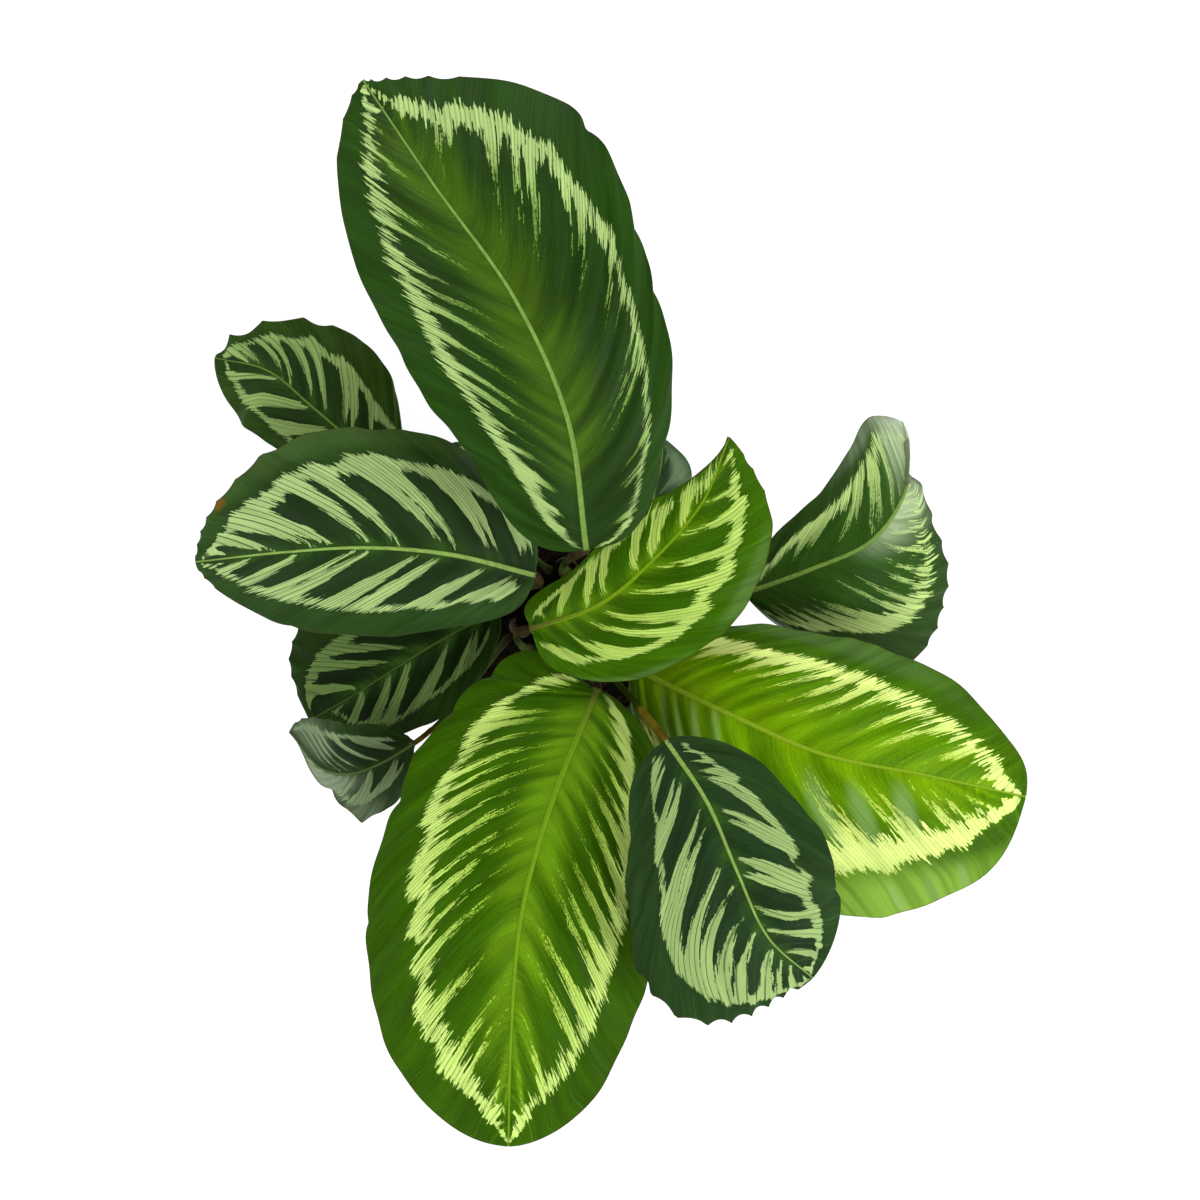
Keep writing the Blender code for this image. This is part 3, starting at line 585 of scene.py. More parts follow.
def name_seed(name):
    """A whole number of its own for each leaf, to keep their waves and grain apart."""
    return sum(map(ord, name))


def margin_place(vein):
    """How far along its blade a side vein meets the margin, 0 at the stalk to 1 at the tip."""
    return (1 - np.cos(math.pi * vein)) / 2


def vein_step(vein, length):
    """Millimetres along the margin for one whole step of the vein number."""
    return length * math.pi / 2 * np.sin(math.pi * vein)


def midrib_frame(leaf, at):
    """Midrib points at fractions of its length, with their level forward and left."""
    step = 0.01
    flat = np.array([1.0, 1.0, 0.0])
    points = np.asarray(leaf["midrib"], float)
    forward = unit((smooth_through(points, at + step) - smooth_through(points, at - step)) * flat)
    whole = unit((points[-1] - points[0]) * flat)
    forward = unit(forward + (whole - forward) * leaf["sweep"])
    left = np.stack([-forward[..., 1], forward[..., 0], np.zeros_like(forward[..., 0])], -1)
    return smooth_through(points, at), forward, left


def margin_change(name, side, vein):
    """How far scallops and dents move the margin outwards, in millimetres."""
    change = np.zeros_like(vein)
    for which, cusps, depth in SCALLOPS.get(name, ()):
        if which == side:
            place = np.interp(vein, cusps, np.arange(len(cusps)))
            change -= depth * np.abs(np.sin(math.pi * place)) ** 0.75
    for which, middle, span, depth in DENTS.get(name, ()):
        if which == side:
            change -= depth * np.maximum(0, 1 - np.abs(vein - middle) / span) ** 2
    return change


def blade_points(leaf, vein, reach):
    """Points of a blade for side veins and signed reaches, + on the left."""
    out = np.abs(reach)
    at_margin = margin_place(vein)
    at_midrib = at_margin ** VEIN_CROWDING
    bend = VEIN_STRAIGHTNESS * out + (1 - VEIN_STRAIGHTNESS) * out * out
    centre, forward, left = midrib_frame(leaf, at_midrib + (at_margin - at_midrib) * bend)
    fade = np.minimum(vein / LOBE_REACH, 1.0)
    parts = []
    for side in ("left", "right"):
        shape = leaf[side]
        width = smooth_through(shape["widths"], vein) * np.sin(math.pi * vein)
        lobe = shape["lobe"] * 16 * fade ** 2 * (1 - fade) ** 2
        lift = width * (shape["climb"] * out - shape["droop"] * out * out)
        parts.append((width, lobe, lift))
    (wl, bl, ll), (wr, br, lr) = parts
    on_left = reach >= 0
    width, lobe, lift = (np.where(on_left, a, b) for a, b in ((wl, wr), (bl, br), (ll, lr)))
    points = centre + left * (width * reach)[..., None] - forward * (lobe * out * out)[..., None]
    points[..., 2] += lift
    return points, width


def shape_margins(name, sheet, vein, reach):
    """Moves a blade's margins in and out by its scallops and dents."""
    moved = sheet.copy()
    for side, edge, turn in (("left", -1, -1.0), ("right", 0, 1.0)):
        ahead = unit(np.gradient(sheet[:, edge], axis=0))
        outward = turn * unit(np.cross(ahead, [0.0, 0.0, 1.0]))
        push = margin_change(name, side, vein) * np.abs(reach) ** 4 * ((reach >= 0) == (side == "left"))
        moved += outward[:, None, :] * push[..., None]
    return moved


def leaf_length(leaf):
    """The length of a blade along its midrib's points, in millimetres."""
    points = np.asarray(leaf["midrib"], float)
    return float(np.linalg.norm(np.diff(points, axis=0), axis=1).sum())


def smooth_step(value, low, high):
    """0 up to `low`, 1 from `high` on, with an easy curve between."""
    t = np.clip((value - low) / (high - low), 0, 1)
    return t * t * (3 - 2 * t)


def smooth_max(a, b, width):
    """The larger of two numbers, rounded where they cross."""
    return np.maximum(a, b) + width / 4 * np.maximum(0, 1 - np.abs(a - b) / width) ** 2


# ================================================================ leaf markings as numbers
BAR_TIP = 0.3              # a bar's width at its inner end, as a share of its full width
BAR_FLARE = 0.3            # how much wider a bar gets as it meets the ring, as the same share
BAR_SHOULDER = 0.6         # how far out along a bar it reaches its full width
ACROSS_GAIN = 2.2          # a bar's sides are crisper than its ends
BAR_JOIN = 0.8             # how softly bars run into the ring and each other, in millimetres
BAR_HALO = 1.3             # half width of the lighter zone along a bar, in the bar's own
LEAST_RUN = 0.05           # the shortest way from a bar's inner end to the ring, in reaches
WHOLE_RING = (0.8, 0.9)    # veins between which a thinned ring gets back its full width
OUTSIDE_FADE = (-2.0, 3.0) # millimetres past the ring's edge over which the margin's colour comes
LOBE_GAP = 0.012           # the least dark space between two bars that has a vein of its own
FIRST_LOBES = (0.14, 0.07) # how far before the first of them two more lobe veins run
LAST_LOBE = 0.05           # and how far after the last of them one more
GLOW_RISE = 0.18           # how many veins the glow along the midrib takes to come and to go
GLOW_FALL = 0.15
RIB_TIP = 0.22             # the pale midrib's half width at the tip, as a share of that at the stalk
LOBE_VEIN_RANGE = 10.0     # millimetres from a lobe vein that are told apart
FAR = -30.0


def side_markings(marks, look, vein, out, width, length):
    """For one side: the signed depth inside the pale marking in millimetres, how far along a bar
    towards the midrib, 0 inside the ring to 1 outside it, and how near a bar's line runs."""
    knots = np.array(marks["ring"])
    outer = np.interp(vein, knots[:, 0], knots[:, 1], left=-0.2, right=-0.2)
    inner = np.interp(vein, knots[:, 0], knots[:, 2], left=0.1, right=0.1)
    share = look["ring_share"] + (1 - look["ring_share"]) * smooth_step(vein, *WHOLE_RING)
    inner = outer + (inner - outer) * share
    per_vein = vein_step(vein, length)
    pale = np.minimum(outer - out, (out - inner) * look["comb"]) * width
    along, near = np.zeros_like(pale), np.zeros_like(pale)
    best = pale.copy()
    for at_ring, at_end, half, end in marks["bars"]:
        ring_reach = np.interp(at_ring, knots[:, 0], knots[:, 2])
        depth = np.clip((out - end) / max(ring_reach - end, LEAST_RUN), -0.5, 1.5)
        away = np.abs(vein - (at_end + (at_ring - at_end) * depth))
        full = BAR_TIP + (1 - BAR_TIP) * np.clip(depth / BAR_SHOULDER, 0, 1)
        spread = half * look["fullness"] * (full + BAR_FLARE * smooth_step(depth, 0.7, 1.1))
        bar = np.minimum(np.minimum((spread - away) * per_vein * ACROSS_GAIN, (out - end) * width),
                         (outer - out) * width)
        along = np.where(bar > best, np.clip(1.15 - depth, 0, 1) ** 0.8, along)
        best = np.maximum(best, bar)
        pale = smooth_max(pale, bar, BAR_JOIN)
        near = np.maximum(near, np.exp(-(away / (half * BAR_HALO)) ** 2) * (out < outer))
    outside = smooth_step((out - outer) * width, *OUTSIDE_FADE)
    # Edges are less ragged towards both ends of the blade, where everything is closer together.
    calm = 0.4 + 0.6 * smooth_step(np.sin(math.pi * vein), 0.1, 0.5)
    return np.maximum(pale / calm, FAR), along, outside, near


def side_veins(marks, vein, out):
    """Where the vein through each point meets the ring: bars lie along the veins, so they show
    how far a vein leans between the midrib and the ring."""
    bars = np.array(sorted(marks["bars"]))
    lean = bars[:, 0] - bars[:, 1]
    for _ in range(2):     # evens out the leans of neighbouring bars
        padded = np.concatenate([lean[:1], lean, lean[-1:]])
        lean = padded[:-2] * 0.25 + padded[1:-1] * 0.5 + padded[2:] * 0.25
    inward = 1 - np.clip((out - 0.1) / 0.5, 0, 1.5)
    knots = np.concatenate([[0], bars[:, 0], [1]])
    lean = np.concatenate([[0], lean, [0]])
    followed = vein
    for _ in range(4):     # the lean is that of the vein arrived at, so it is found in steps
        followed = vein + np.interp(followed, knots, lean) * inward
    return followed


def side_pleats(marks, followed):
    """The count of lobe veins passed from the stalk, and how near the closest is, in veins."""
    bars = sorted(marks["bars"])
    middles = [(a[0] + a[2] + b[0] - b[2]) / 2 for a, b in zip(bars, bars[1:])
               if b[0] - b[2] - a[0] - a[2] > LOBE_GAP]
    middles = [*(middles[0] - before for before in FIRST_LOBES), *middles, middles[-1] + LAST_LOBE]
    close = np.min([np.abs(followed - m) for m in middles], axis=0)
    return np.interp(followed, middles, np.arange(len(middles))), close


def blade_markings(name, vein, reach, width, length, close):
    """Everything a blade's finish needs to know at each point: numbers, zones and patches."""
    look = FINISHES[name]
    out = np.abs(reach)
    sides = [side_markings(MARKINGS[name][side], look, vein, out, width, length)
             for side in ("left", "right")]
    pale, along, outside, near = (np.where(reach >= 0, a, b) for a, b in zip(*sides))
    strength, spread, first, last = look["glow"]
    lit = smooth_step(vein, first, first + GLOW_RISE) * (1 - smooth_step(vein, last - GLOW_FALL, last))
    barred = look["glow_gap"] + (1 - look["glow_gap"]) * near
    glow = strength * np.exp(-((out * width) / spread) ** 2) * lit * barred
    # The patches: mostly painted sheen and painted light, with a few dark streaks and a scorch mark.
    patches = np.zeros((*vein.shape, 4))
    for side, at, middle, half_vein, half_reach, amount, colour in look["patches"]:
        here = (reach >= 0) == (side == "left")
        away = np.sqrt(((vein - at) / half_vein) ** 2 + ((out - middle) / half_reach) ** 2)
        cover = (here * amount * (1 - smooth_step(away, 0.3, 1.1)))[..., None]
        patches = patches * (1 - cover) + np.array([*colour, 1.0]) * cover
    at_midrib = margin_place(vein) ** VEIN_CROWDING
    rib = look["rib_width"] * (RIB_TIP + (1 - RIB_TIP) * (1 - at_midrib)) - out * width
    inset = (1 - out) * width
    lobe_vein = np.minimum(close * vein_step(vein, length) / LOBE_VEIN_RANGE, 1)
    zones = np.stack([along * look["speckle"], glow, outside, lobe_vein], -1)
    return {"pale": pale, "rib": rib, "inset": inset}, zones, patches


def rib_radius(at):
    """The midrib's radius at a fraction of the blade's length."""
    return KEEL_TIP_RADIUS + (KEEL_RADIUS - KEEL_TIP_RADIUS) * (1 - at) ** 1.15


# ================================================================ meshes
def mesh_object(name, points, faces, finishes, face_finish=None, uvs=None, values=None, colours=None):
    """A mesh from millimetre points, with optional map, named point values and point colours."""
    mesh = bpy.data.meshes.new(name)
    mesh.from_pydata((np.asarray(points) * MM).tolist(), [], faces)
    for finish in finishes:
        mesh.materials.append(finish)
    if face_finish is not None:
        mesh.polygons.foreach_set("material_index", np.asarray(face_finish, np.int32))
    corner = np.zeros(len(mesh.loops), np.int32)
    mesh.loops.foreach_get("vertex_index", corner)
    if uvs is not None:
        layer = mesh.uv_layers.new(name="surface")
        layer.uv.foreach_set("vector", np.asarray(uvs, np.float32)[corner].ravel())
    for key, numbers in (values or {}).items():
        attribute = mesh.attributes.new(key, "FLOAT", "POINT")
        attribute.data.foreach_set("value", np.asarray(numbers, np.float32).ravel())
    for key, numbers in (colours or {}).items():
        attribute = mesh.attributes.new(key, "FLOAT_COLOR", "POINT")
        attribute.data.foreach_set("color", np.asarray(numbers, np.float32).ravel())
    mesh.validate()
    mesh.shade_smooth()
    obj = bpy.data.objects.new(name, mesh)
    bpy.context.scene.collection.objects.link(obj)
    return obj


def settle(obj, node):
    """Puts a finished piece in place of its plain solid."""
    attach(obj, "root")
    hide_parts(node)
    return obj


def grid_faces(rows, columns, first=0, flip=False):
    """Quads of a grid of points numbered row by row."""
    i, j = np.meshgrid(np.arange(rows - 1), np.arange(columns - 1), indexing="ij")
    a = first + i * columns + j
    quads = np.stack([a, a + columns, a + columns + 1, a + 1], -1).reshape(-1, 4)
    return quads[:, ::-1] if flip else quads


def sheet_faces(rows, columns, turned=False):
    """Faces that close two grids of points, one under the other, into a sheet: the first grid's,
    the second's, then the four rims. `turned` is for a first grid that faces the other way."""
    i, j = np.arange(rows - 1) * columns, np.arange(columns - 1)
    end, far, half = columns - 1, (rows - 1) * columns, rows * columns
    rims = np.concatenate([
        np.stack([i, i + half, i + columns + half, i + columns], -1),
        np.stack([i + end, i + columns + end, i + columns + end + half, i + end + half], -1),
        np.stack([j, j + 1, j + 1 + half, j + half], -1),
        np.stack([far + j, far + j + half, far + j + 1 + half, far + j + 1], -1)])
    if turned:
        rims = rims[:, [0, 3, 2, 1]]
    return np.concatenate([grid_faces(rows, columns, 0, flip=turned),
                           grid_faces(rows, columns, half, flip=not turned), rims])


def frame_shift(leaf, node):
    """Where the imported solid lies, compared with the plain shape of the same numbers."""
    vein, reach = np.meshgrid(np.linspace(0.03, 0.985, 16), np.linspace(-1, 1, 7), indexing="ij")
    plain, _ = blade_points(leaf, vein, reach)
    flat = plain.reshape(-1, 3)
    low, high = (np.array(corner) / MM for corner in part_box(node))
    return (low + high) / 2 - (flat.min(0) + flat.max(0)) / 2


def lobe_veins(name, vein, reach):
    """For each point: the vein at the ring that runs through it, the count of lobe veins passed,
    and how near the closest is."""
    sides = []
    for side in ("left", "right"):
        marks = MARKINGS[name][side]
        followed = side_veins(marks, vein, np.abs(reach))
        sides.append((followed, *side_pleats(marks, followed)))
    return [np.where(reach >= 0, left, right) for left, right in zip(*sides)]


def blade_relief(name, vein, reach, width, count):
    """How far pleats between lobe veins, and waves along the margin, lift a blade's face."""
    look = FINISHES[name]
    out = np.abs(reach)
    size = np.clip(width / PLEATED_WIDTH, 0.2, 1.2)
    pleat = np.cos(2 * math.pi * count) * 4 * out * (1 - out)
    height, waves = look["wave"]
    phase = np.where(reach >= 0, 0.0, 2.1) + name_seed(name)
    turn = math.pi * waves * margin_place(vein)
    wave = np.sin(2 * turn + phase) + 0.45 * np.sin(5.3 * turn + 2 * phase)
    wave = wave * out ** 4 * np.sin(math.pi * vein)
    return look["pleat_height"] * pleat * size + height * 0.5 * wave * size


def sheet_normals(sheet):
    """The upward normal at each point of a blade's grid."""
    return unit(np.cross(np.gradient(sheet, axis=0), np.gradient(sheet, axis=1)))


def blade_faces(sheet, vein, reach, width):
    """The upper and under points of a blade: the midrib stands a little proud between two
    shallow grooves above, and has a round keel below."""
    out = np.abs(reach)
    radius = rib_radius(margin_place(vein) ** VEIN_CROWDING)
    away = out * width / radius
    ridge = 0.3 * radius * np.exp(-(away / 0.8) ** 2) - 0.12 * radius * np.exp(-((away - 1.5) / 0.5) ** 2)
    keel = 1.15 * radius * np.sqrt(np.maximum(0, 1 - away ** 2))
    thick = BLADE_THICKNESS * (1 - 0.5 * out ** 2)
    normal = sheet_normals(sheet)
    return sheet + normal * ridge[..., None], sheet - normal * (thick + keel)[..., None]


def make_blade(name):
    """A blade: the plain solid's curved sheet with scallops, pleats, waves, a keel and markings."""
    leaf, look = LEAVES[name], FINISHES[name]
    node = f"{name}_blade"
    rows = BLADE_ROWS.get(name, USUAL_ROWS)
    signed = np.array([-r for r in REACHES[:0:-1]] + list(REACHES))
    vein, reach = np.meshgrid(np.linspace(BLADE_START, BLADE_END, rows), signed, indexing="ij")
    sheet, width = blade_points(leaf, vein, reach)
    sheet = shape_margins(name, sheet + frame_shift(leaf, node), vein, reach)
    followed, count, close = lobe_veins(name, vein, reach)
    relief = blade_relief(name, vein, reach, width, count)
    sheet = sheet + sheet_normals(sheet) * relief[..., None]
    top, under = blade_faces(sheet, vein, reach, width)
    points = np.concatenate([top.reshape(-1, 3), under.reshape(-1, 3)])
    faces = sheet_faces(rows, len(signed))
    lower_finish = np.arange(len(faces)) >= (rows - 1) * (len(signed) - 1)

    length = leaf_length(leaf)
    numbers, zones, patches = blade_markings(name, vein, reach, width, length, close)
    along = margin_place(np.clip(followed, 0, 1)) * length
    uv = np.stack([along, reach * width], -1).reshape(-1, 2) / UV_UNIT
    blade = mesh_object(node.replace("_blade", "_sheet"), points, faces.tolist(),
                        [leaf_top(name, look), leaf_under(name, look)], lower_finish,
                        np.concatenate([uv, uv]),
                        {key: np.concatenate([v.ravel()] * 2) for key, v in numbers.items()},
                        {"zones": np.concatenate([zones.reshape(-1, 4)] * 2),
                         "patches": np.concatenate([patches.reshape(-1, 4)] * 2)})
    blade.data.set_sharp_from_angle(angle=math.radians(60))
    return settle(blade, node)


# ---------------------------------------------------------------- stalks
STALK_RINGS = 150
STALK_SIDES = 22
SHEATH_END = 0.55          # where the sheathed foot has thinned to the bare stalk, as a share
JOINT_RISE = (0.868, 0.885)  # where the swollen joint under the blade begins
JOINT_FALL = (0.985, 1.0)
JOINT_TINT_RISE = (0.862, 0.88)  # where the joint's colour comes and goes
JOINT_TINT_FALL = (0.995, 0.98)
WRINKLE_STEP = 1.4         # millimetres from one wrinkle of the joint to the next


def stalk_route(leaf, node):
    """The route of the plain stalk: foot, elbow and the start of the blade, run on into it."""
    low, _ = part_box(node)
    foot = np.array([*leaf["foot"], low.z / MM])
    elbow = np.array(leaf["elbow"], float)
    base, forward, _ = (part[0] for part in midrib_frame(leaf, np.array([0.0])))
    into = unit(base - elbow)
    end = base - into * STALK_END_GAP
    rise = np.array([0, 0, (elbow[2] - foot[2]) * 0.45])
    t = np.linspace(0, 1, STALK_RINGS)[:, None]
    s = 1 - t
    route = foot * s ** 3 + (foot + rise) * (3 * s * s * t) + elbow * (3 * s * t * t) + end * t ** 3
    run_on = [end + into * STALK_END_GAP - [0, 0, 1.2], base + forward * 3.5 - [0, 0, 2.0]]
    return np.concatenate([route - [0, 0, 1.0] * (t < 1e-6), run_on])


def tube(route, radius_of, sides):
    """Points and faces of a closed tube; radius_of takes the fraction along and the angle."""
    steps = np.linalg.norm(np.diff(route, axis=0), axis=1)
    along = np.concatenate([[0], np.cumsum(steps)])
    tangent = unit(np.gradient(route, axis=0))
    side = unit(np.cross(tangent[0], [0.3, 1.0, 0.2]))
    angles = np.linspace(0, 2 * math.pi, sides, endpoint=False)
    rings = []
    for point, ahead, place in zip(route, tangent, along / along[-1]):
        side = unit(side - ahead * side.dot(ahead))
        other = np.cross(ahead, side)
        radius = radius_of(place, angles)
        rings.append(point + (np.cos(angles) * radius)[:, None] * side
                     + (np.sin(angles) * radius)[:, None] * other)
    points = np.concatenate([*rings, [route[0]], [route[-1]]])
    n = len(route)
    faces = []
    for i in range(n - 1):
        for k in range(sides):
            a, b = i * sides + k, i * sides + (k + 1) % sides
            faces.append((a, b, b + sides, a + sides))
    for k in range(sides):
        faces.append(((k + 1) % sides, k, n * sides))
        faces.append(((n - 1) * sides + k, (n - 1) * sides + (k + 1) % sides, n * sides + 1))
    place = np.repeat(along, sides)
    around = np.tile(angles, n)
    return points, faces, np.append(place, [0, along[-1]]), np.append(around, [0, 0]), along[-1]


def make_stalk(name):
    """A stalk: grooved sheath at its foot, thin above, and a wrinkled joint under its blade."""
    leaf = LEAVES[name]
    node = f"{name}_stalk"
    seed = name_seed(name)
    route = stalk_route(leaf, node)
    length = np.linalg.norm(np.diff(route, axis=0), axis=1).sum()

    def radius_of(t, angle):
        """The stalk's radius at a fraction of its length, at each angle round it."""
        sheathed = max(0.0, 1 - t / SHEATH_END) ** 1.5
        joint = smooth_step(t, *JOINT_RISE) * (1 - smooth_step(t, *JOINT_FALL))
        radius = leaf["girth"] * (STALK_RADIUS + (SHEATH_RADIUS - STALK_RADIUS) * sheathed
                                  + (JOINT_RADIUS - STALK_RADIUS) * joint)
        wrinkle = 0.07 * joint * np.sin(2 * math.pi * t * length / WRINKLE_STEP)
        turn = (angle - seed + math.pi) % (2 * math.pi) - math.pi
        cleft = 0.28 * sheathed ** 0.5 * np.exp(-(turn / 0.32) ** 2)
        lip = 0.1 * sheathed ** 0.5 * np.exp(-((np.abs(turn) - 0.6) / 0.2) ** 2)
        ribs = 0.018 * np.cos(11 * angle)
        return radius * (1 - cleft + lip + ribs) + wrinkle

    points, faces, along, around, total = tube(route, radius_of, STALK_SIDES)
    uv = np.stack([along, around * STALK_RADIUS], -1) / UV_UNIT
    stalk = mesh_object(node.replace("_stalk", "_stem"), points, faces, [stalk_finish(name)], None, uv,
                        {"up": along / total})
    return settle(stalk, node)


# ---------------------------------------------------------------- papery scales and the crown
# Each scale: the middle that it is rolled round, the direction it faces in degrees, its height.
SCALES = {
    "papery_scale_1": ((-8.0, -5.0), 230.0, 60.0),
    "papery_scale_2": ((-21.0, 2.0), 185.0, 48.0),
    "papery_scale_3": ((8.0, -20.0), 250.0, 42.0),
    "papery_scale_4": ((12.0, 20.0), 75.0, 54.0),
}
SCALE_RADIUS = 5.2
SCALE_SWEEP = 150.0
SCALE_SHEET = 0.3
SCALE_ROWS = 46
SCALE_COLUMNS = 37


def make_dry_scale(name, finish):
    """A dry papery sheath that stands half rolled, its sides drawn in to a frayed tip."""
    middle, direction, height = SCALES[name]
    facing = math.radians(direction)
    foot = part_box(name)[0].z / MM
    up, across = np.meshgrid(np.linspace(0, 1, SCALE_ROWS), np.linspace(-1, 1, SCALE_COLUMNS),
                             indexing="ij")
    ragged = np.array([noise.noise(Vector((x * 4.0, 7.0 + direction, 0))) for x in across[0]])
    half = math.radians(SCALE_SWEEP) / 2 * np.sqrt(1 - 0.97 * up ** 2)
    angle = facing + across * half
    radius = (SCALE_RADIUS * (1 + 0.35 * up) + 0.35 * np.cos(27 * across) * up
              + 0.5 * np.sin(5 * up + direction) * up)
    z = foot + up * height * (0.97 + 0.03 * ragged[None, :] * up)
    outer = np.stack([middle[0] + np.cos(angle) * radius, middle[1] + np.sin(angle) * radius, z], -1)
    normal = unit(np.cross(np.gradient(outer, axis=1), np.gradient(outer, axis=0)))
    inner = outer - normal * SCALE_SHEET
    faces = sheet_faces(*up.shape, turned=True)
    points = np.concatenate([outer.reshape(-1, 3), inner.reshape(-1, 3)])
    uv = np.stack([up * height, angle * radius], -1).reshape(-1, 2) / UV_UNIT
    scale = mesh_object(name.replace("papery", "dry"), points, faces.tolist(), [finish], None,
                        np.concatenate([uv, uv]), {"up": np.concatenate([up.ravel()] * 2)})
    return settle(scale, name)


def turned_points(profile, sides):
    """Rings of points round Z from (radius, height) pairs, upper pole to lower, with their faces."""
    angles = np.linspace(0, 2 * math.pi, sides, endpoint=False)
    rings = [np.stack([r * np.cos(angles), r * np.sin(angles), np.full(sides, z)], -1)
             for r, z in profile[1:-1]]
    points = np.concatenate([[[0, 0, profile[0][1]]], *rings, [[0, 0, profile[-1][1]]]])
    last = len(points) - 1
    faces = []
    for k in range(sides):
        n = (k + 1) % sides
        faces.append((0, 1 + k, 1 + n))
        for i in range(len(rings) - 1):
            a, b = 1 + i * sides + k, 1 + i * sides + n
            faces.append((a, a + sides, b + sides, b))
        tail = 1 + (len(rings) - 1) * sides
        faces.append((last, tail + n, tail + k))
    return points, faces


CROWN_SIDES = 64


def make_crown():
    """The rootstock's knobbly top, ringed with old leaf scars."""
    low, high = (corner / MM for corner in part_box("crown"))
    radius, height = high.x, high.z - low.z
    profile = [(0, high.z)]
    profile += [(radius * math.sin(a), low.z + height * math.cos(a))
                for a in np.linspace(0.05, math.pi / 2, 26)]
    profile += [(0, low.z)]
    points, faces = turned_points(profile, CROWN_SIDES)
    for i, p in enumerate(points):
        rough = noise.fractal(Vector(p) * 0.35, 1.0, 2.0, 4)
        scars = 0.35 * math.sin((p[2] - low.z) * 2.6 + 1.5 * math.atan2(p[1], p[0]))
        pull = 1 + (rough * 0.9 + scars - 0.9) / radius
        points[i] = (p[0] * pull, p[1] * pull, low.z + (p[2] - low.z) * (1 + rough * 0.05))
    crown = mesh_object("rootstock", points, faces, [rootstock_finish()])
    return settle(crown, "crown")


# ---------------------------------------------------------------- pot
POT_SIDES = 160
WALL = 2.0
FLOOR = 2.5
RIM_BAND = 14.0
LIP_RADIUS = 1.7
LIP_DROP = 4.4             # from the top of the lip to its lower edge
FLOOR_CORNER = 4.0
FOOT_CORNER = 3.0
STEP_RINGS = (0.86, 0.82)  # heights of the two raised rings, as shares of the wall's
STEP_RELIEF = 0.35
DRAIN_HOLES = 8
DRAIN_RADIUS = 4.5
DRAIN_CIRCLE = 36.0
BASE_RADIUS = 51.0
NECK_RADIUS = 66.5


def rounded(centre, radius, start, end, steps=6):
    """Points of an arc in the profile plane, in degrees."""
    return [(centre[0] + radius * math.cos(math.radians(a)), centre[1] + radius * math.sin(math.radians(a)))
            for a in np.linspace(start, end, steps)]


def make_pot():
    """A tapered nursery pot: rolled lip, rim band, two step rings, and drain holes in its base."""
    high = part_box("pot")[1] / MM
    height, rim = high.z, high.x
    neck = height - RIM_BAND
    slope = (NECK_RADIUS - BASE_RADIUS) / neck

    def wall(z):
        return BASE_RADIUS + slope * z

    inner_corner = (wall(FLOOR) - WALL - FLOOR_CORNER, FLOOR + FLOOR_CORNER)
    profile = [(0, FLOOR)]
    profile += rounded(inner_corner, FLOOR_CORNER, 270, 355)
    profile += [(wall(z) - WALL, z) for z in np.linspace(12, neck - 3, 12)]
    profile += [(NECK_RADIUS - WALL + 0.6, neck), (rim - WALL - 2.0, neck + 3),
                (rim - WALL - 1.6, height - 3)]
    profile += rounded((rim - LIP_RADIUS, height - LIP_RADIUS), LIP_RADIUS, 180, 0, 13)
    profile += [(rim - 0.9, height - LIP_DROP), (rim - 0.9, height - 6), (rim - 0.7, neck + 1.2)]
    profile += rounded((rim - 1.4, neck + 0.7), 0.7, 0, -90, 4)
    profile += [(NECK_RADIUS + 0.4, neck - 0.2), (NECK_RADIUS - 0.1, neck - 1.2)]
    for ring in (neck * share for share in STEP_RINGS):
        profile += [(wall(ring + 1.0), ring + 1.0), (wall(ring) + STEP_RELIEF, ring + 0.4),
                    (wall(ring) + STEP_RELIEF, ring - 0.4), (wall(ring - 1.0), ring - 1.0)]
    profile += [(wall(z), z) for z in np.linspace(neck * 0.78, 6, 12)]
    profile += rounded((wall(FOOT_CORNER) - FOOT_CORNER, FOOT_CORNER), FOOT_CORNER, 0, -75, 6)
    profile += [(BASE_RADIUS - 4.0, 0), (BASE_RADIUS - 14, 0.0), (22, 0.0), (0, 0)]
    points, faces = turned_points(profile, POT_SIDES)
    pot = mesh_object("nursery_pot", points, faces, [pot_finish()])
    for i in range(DRAIN_HOLES):
        angle = 2 * math.pi * (i + 0.5) / DRAIN_HOLES
        cutter_points, cutter_faces = turned_points(
            [(0, FLOOR + 6), (DRAIN_RADIUS, FLOOR + 6), (DRAIN_RADIUS, -6), (0, -6)], 32)
        cutter_points = cutter_points + [DRAIN_CIRCLE * math.cos(angle), DRAIN_CIRCLE * math.sin(angle), 0]
        cutter = mesh_object(f"drain_{i}", cutter_points, cutter_faces, [])
        hole = pot.modifiers.new("drain", "BOOLEAN")
        hole.operation = "DIFFERENCE"
        hole.object = cutter
    keep_result(pot)
    for cutter in [o for o in bpy.data.objects if o.name.startswith("drain_")]:
        bpy.data.objects.remove(cutter)
    pot.data.shade_smooth()
    pot.data.set_sharp_from_angle(angle=math.radians(40))
    return settle(pot, "pot")


def keep_result(obj):
    """Applies an object's modifiers to its own mesh."""
    evaluated = obj.evaluated_get(bpy.context.evaluated_depsgraph_get())
    made = bpy.data.meshes.new_from_object(evaluated)
    obj.modifiers.clear()
    obj.data = made


# ---------------------------------------------------------------- soil
SOIL_MOUND = 4.0           # how much higher the soil is in the middle than at the wall
SOIL_ROOM = 0.8            # how much lower it is than the plain solid, to leave room for lumps
SOIL_SIDES = 150
BED_SIDES = 60             # of the surface that the loose pieces are strewn on
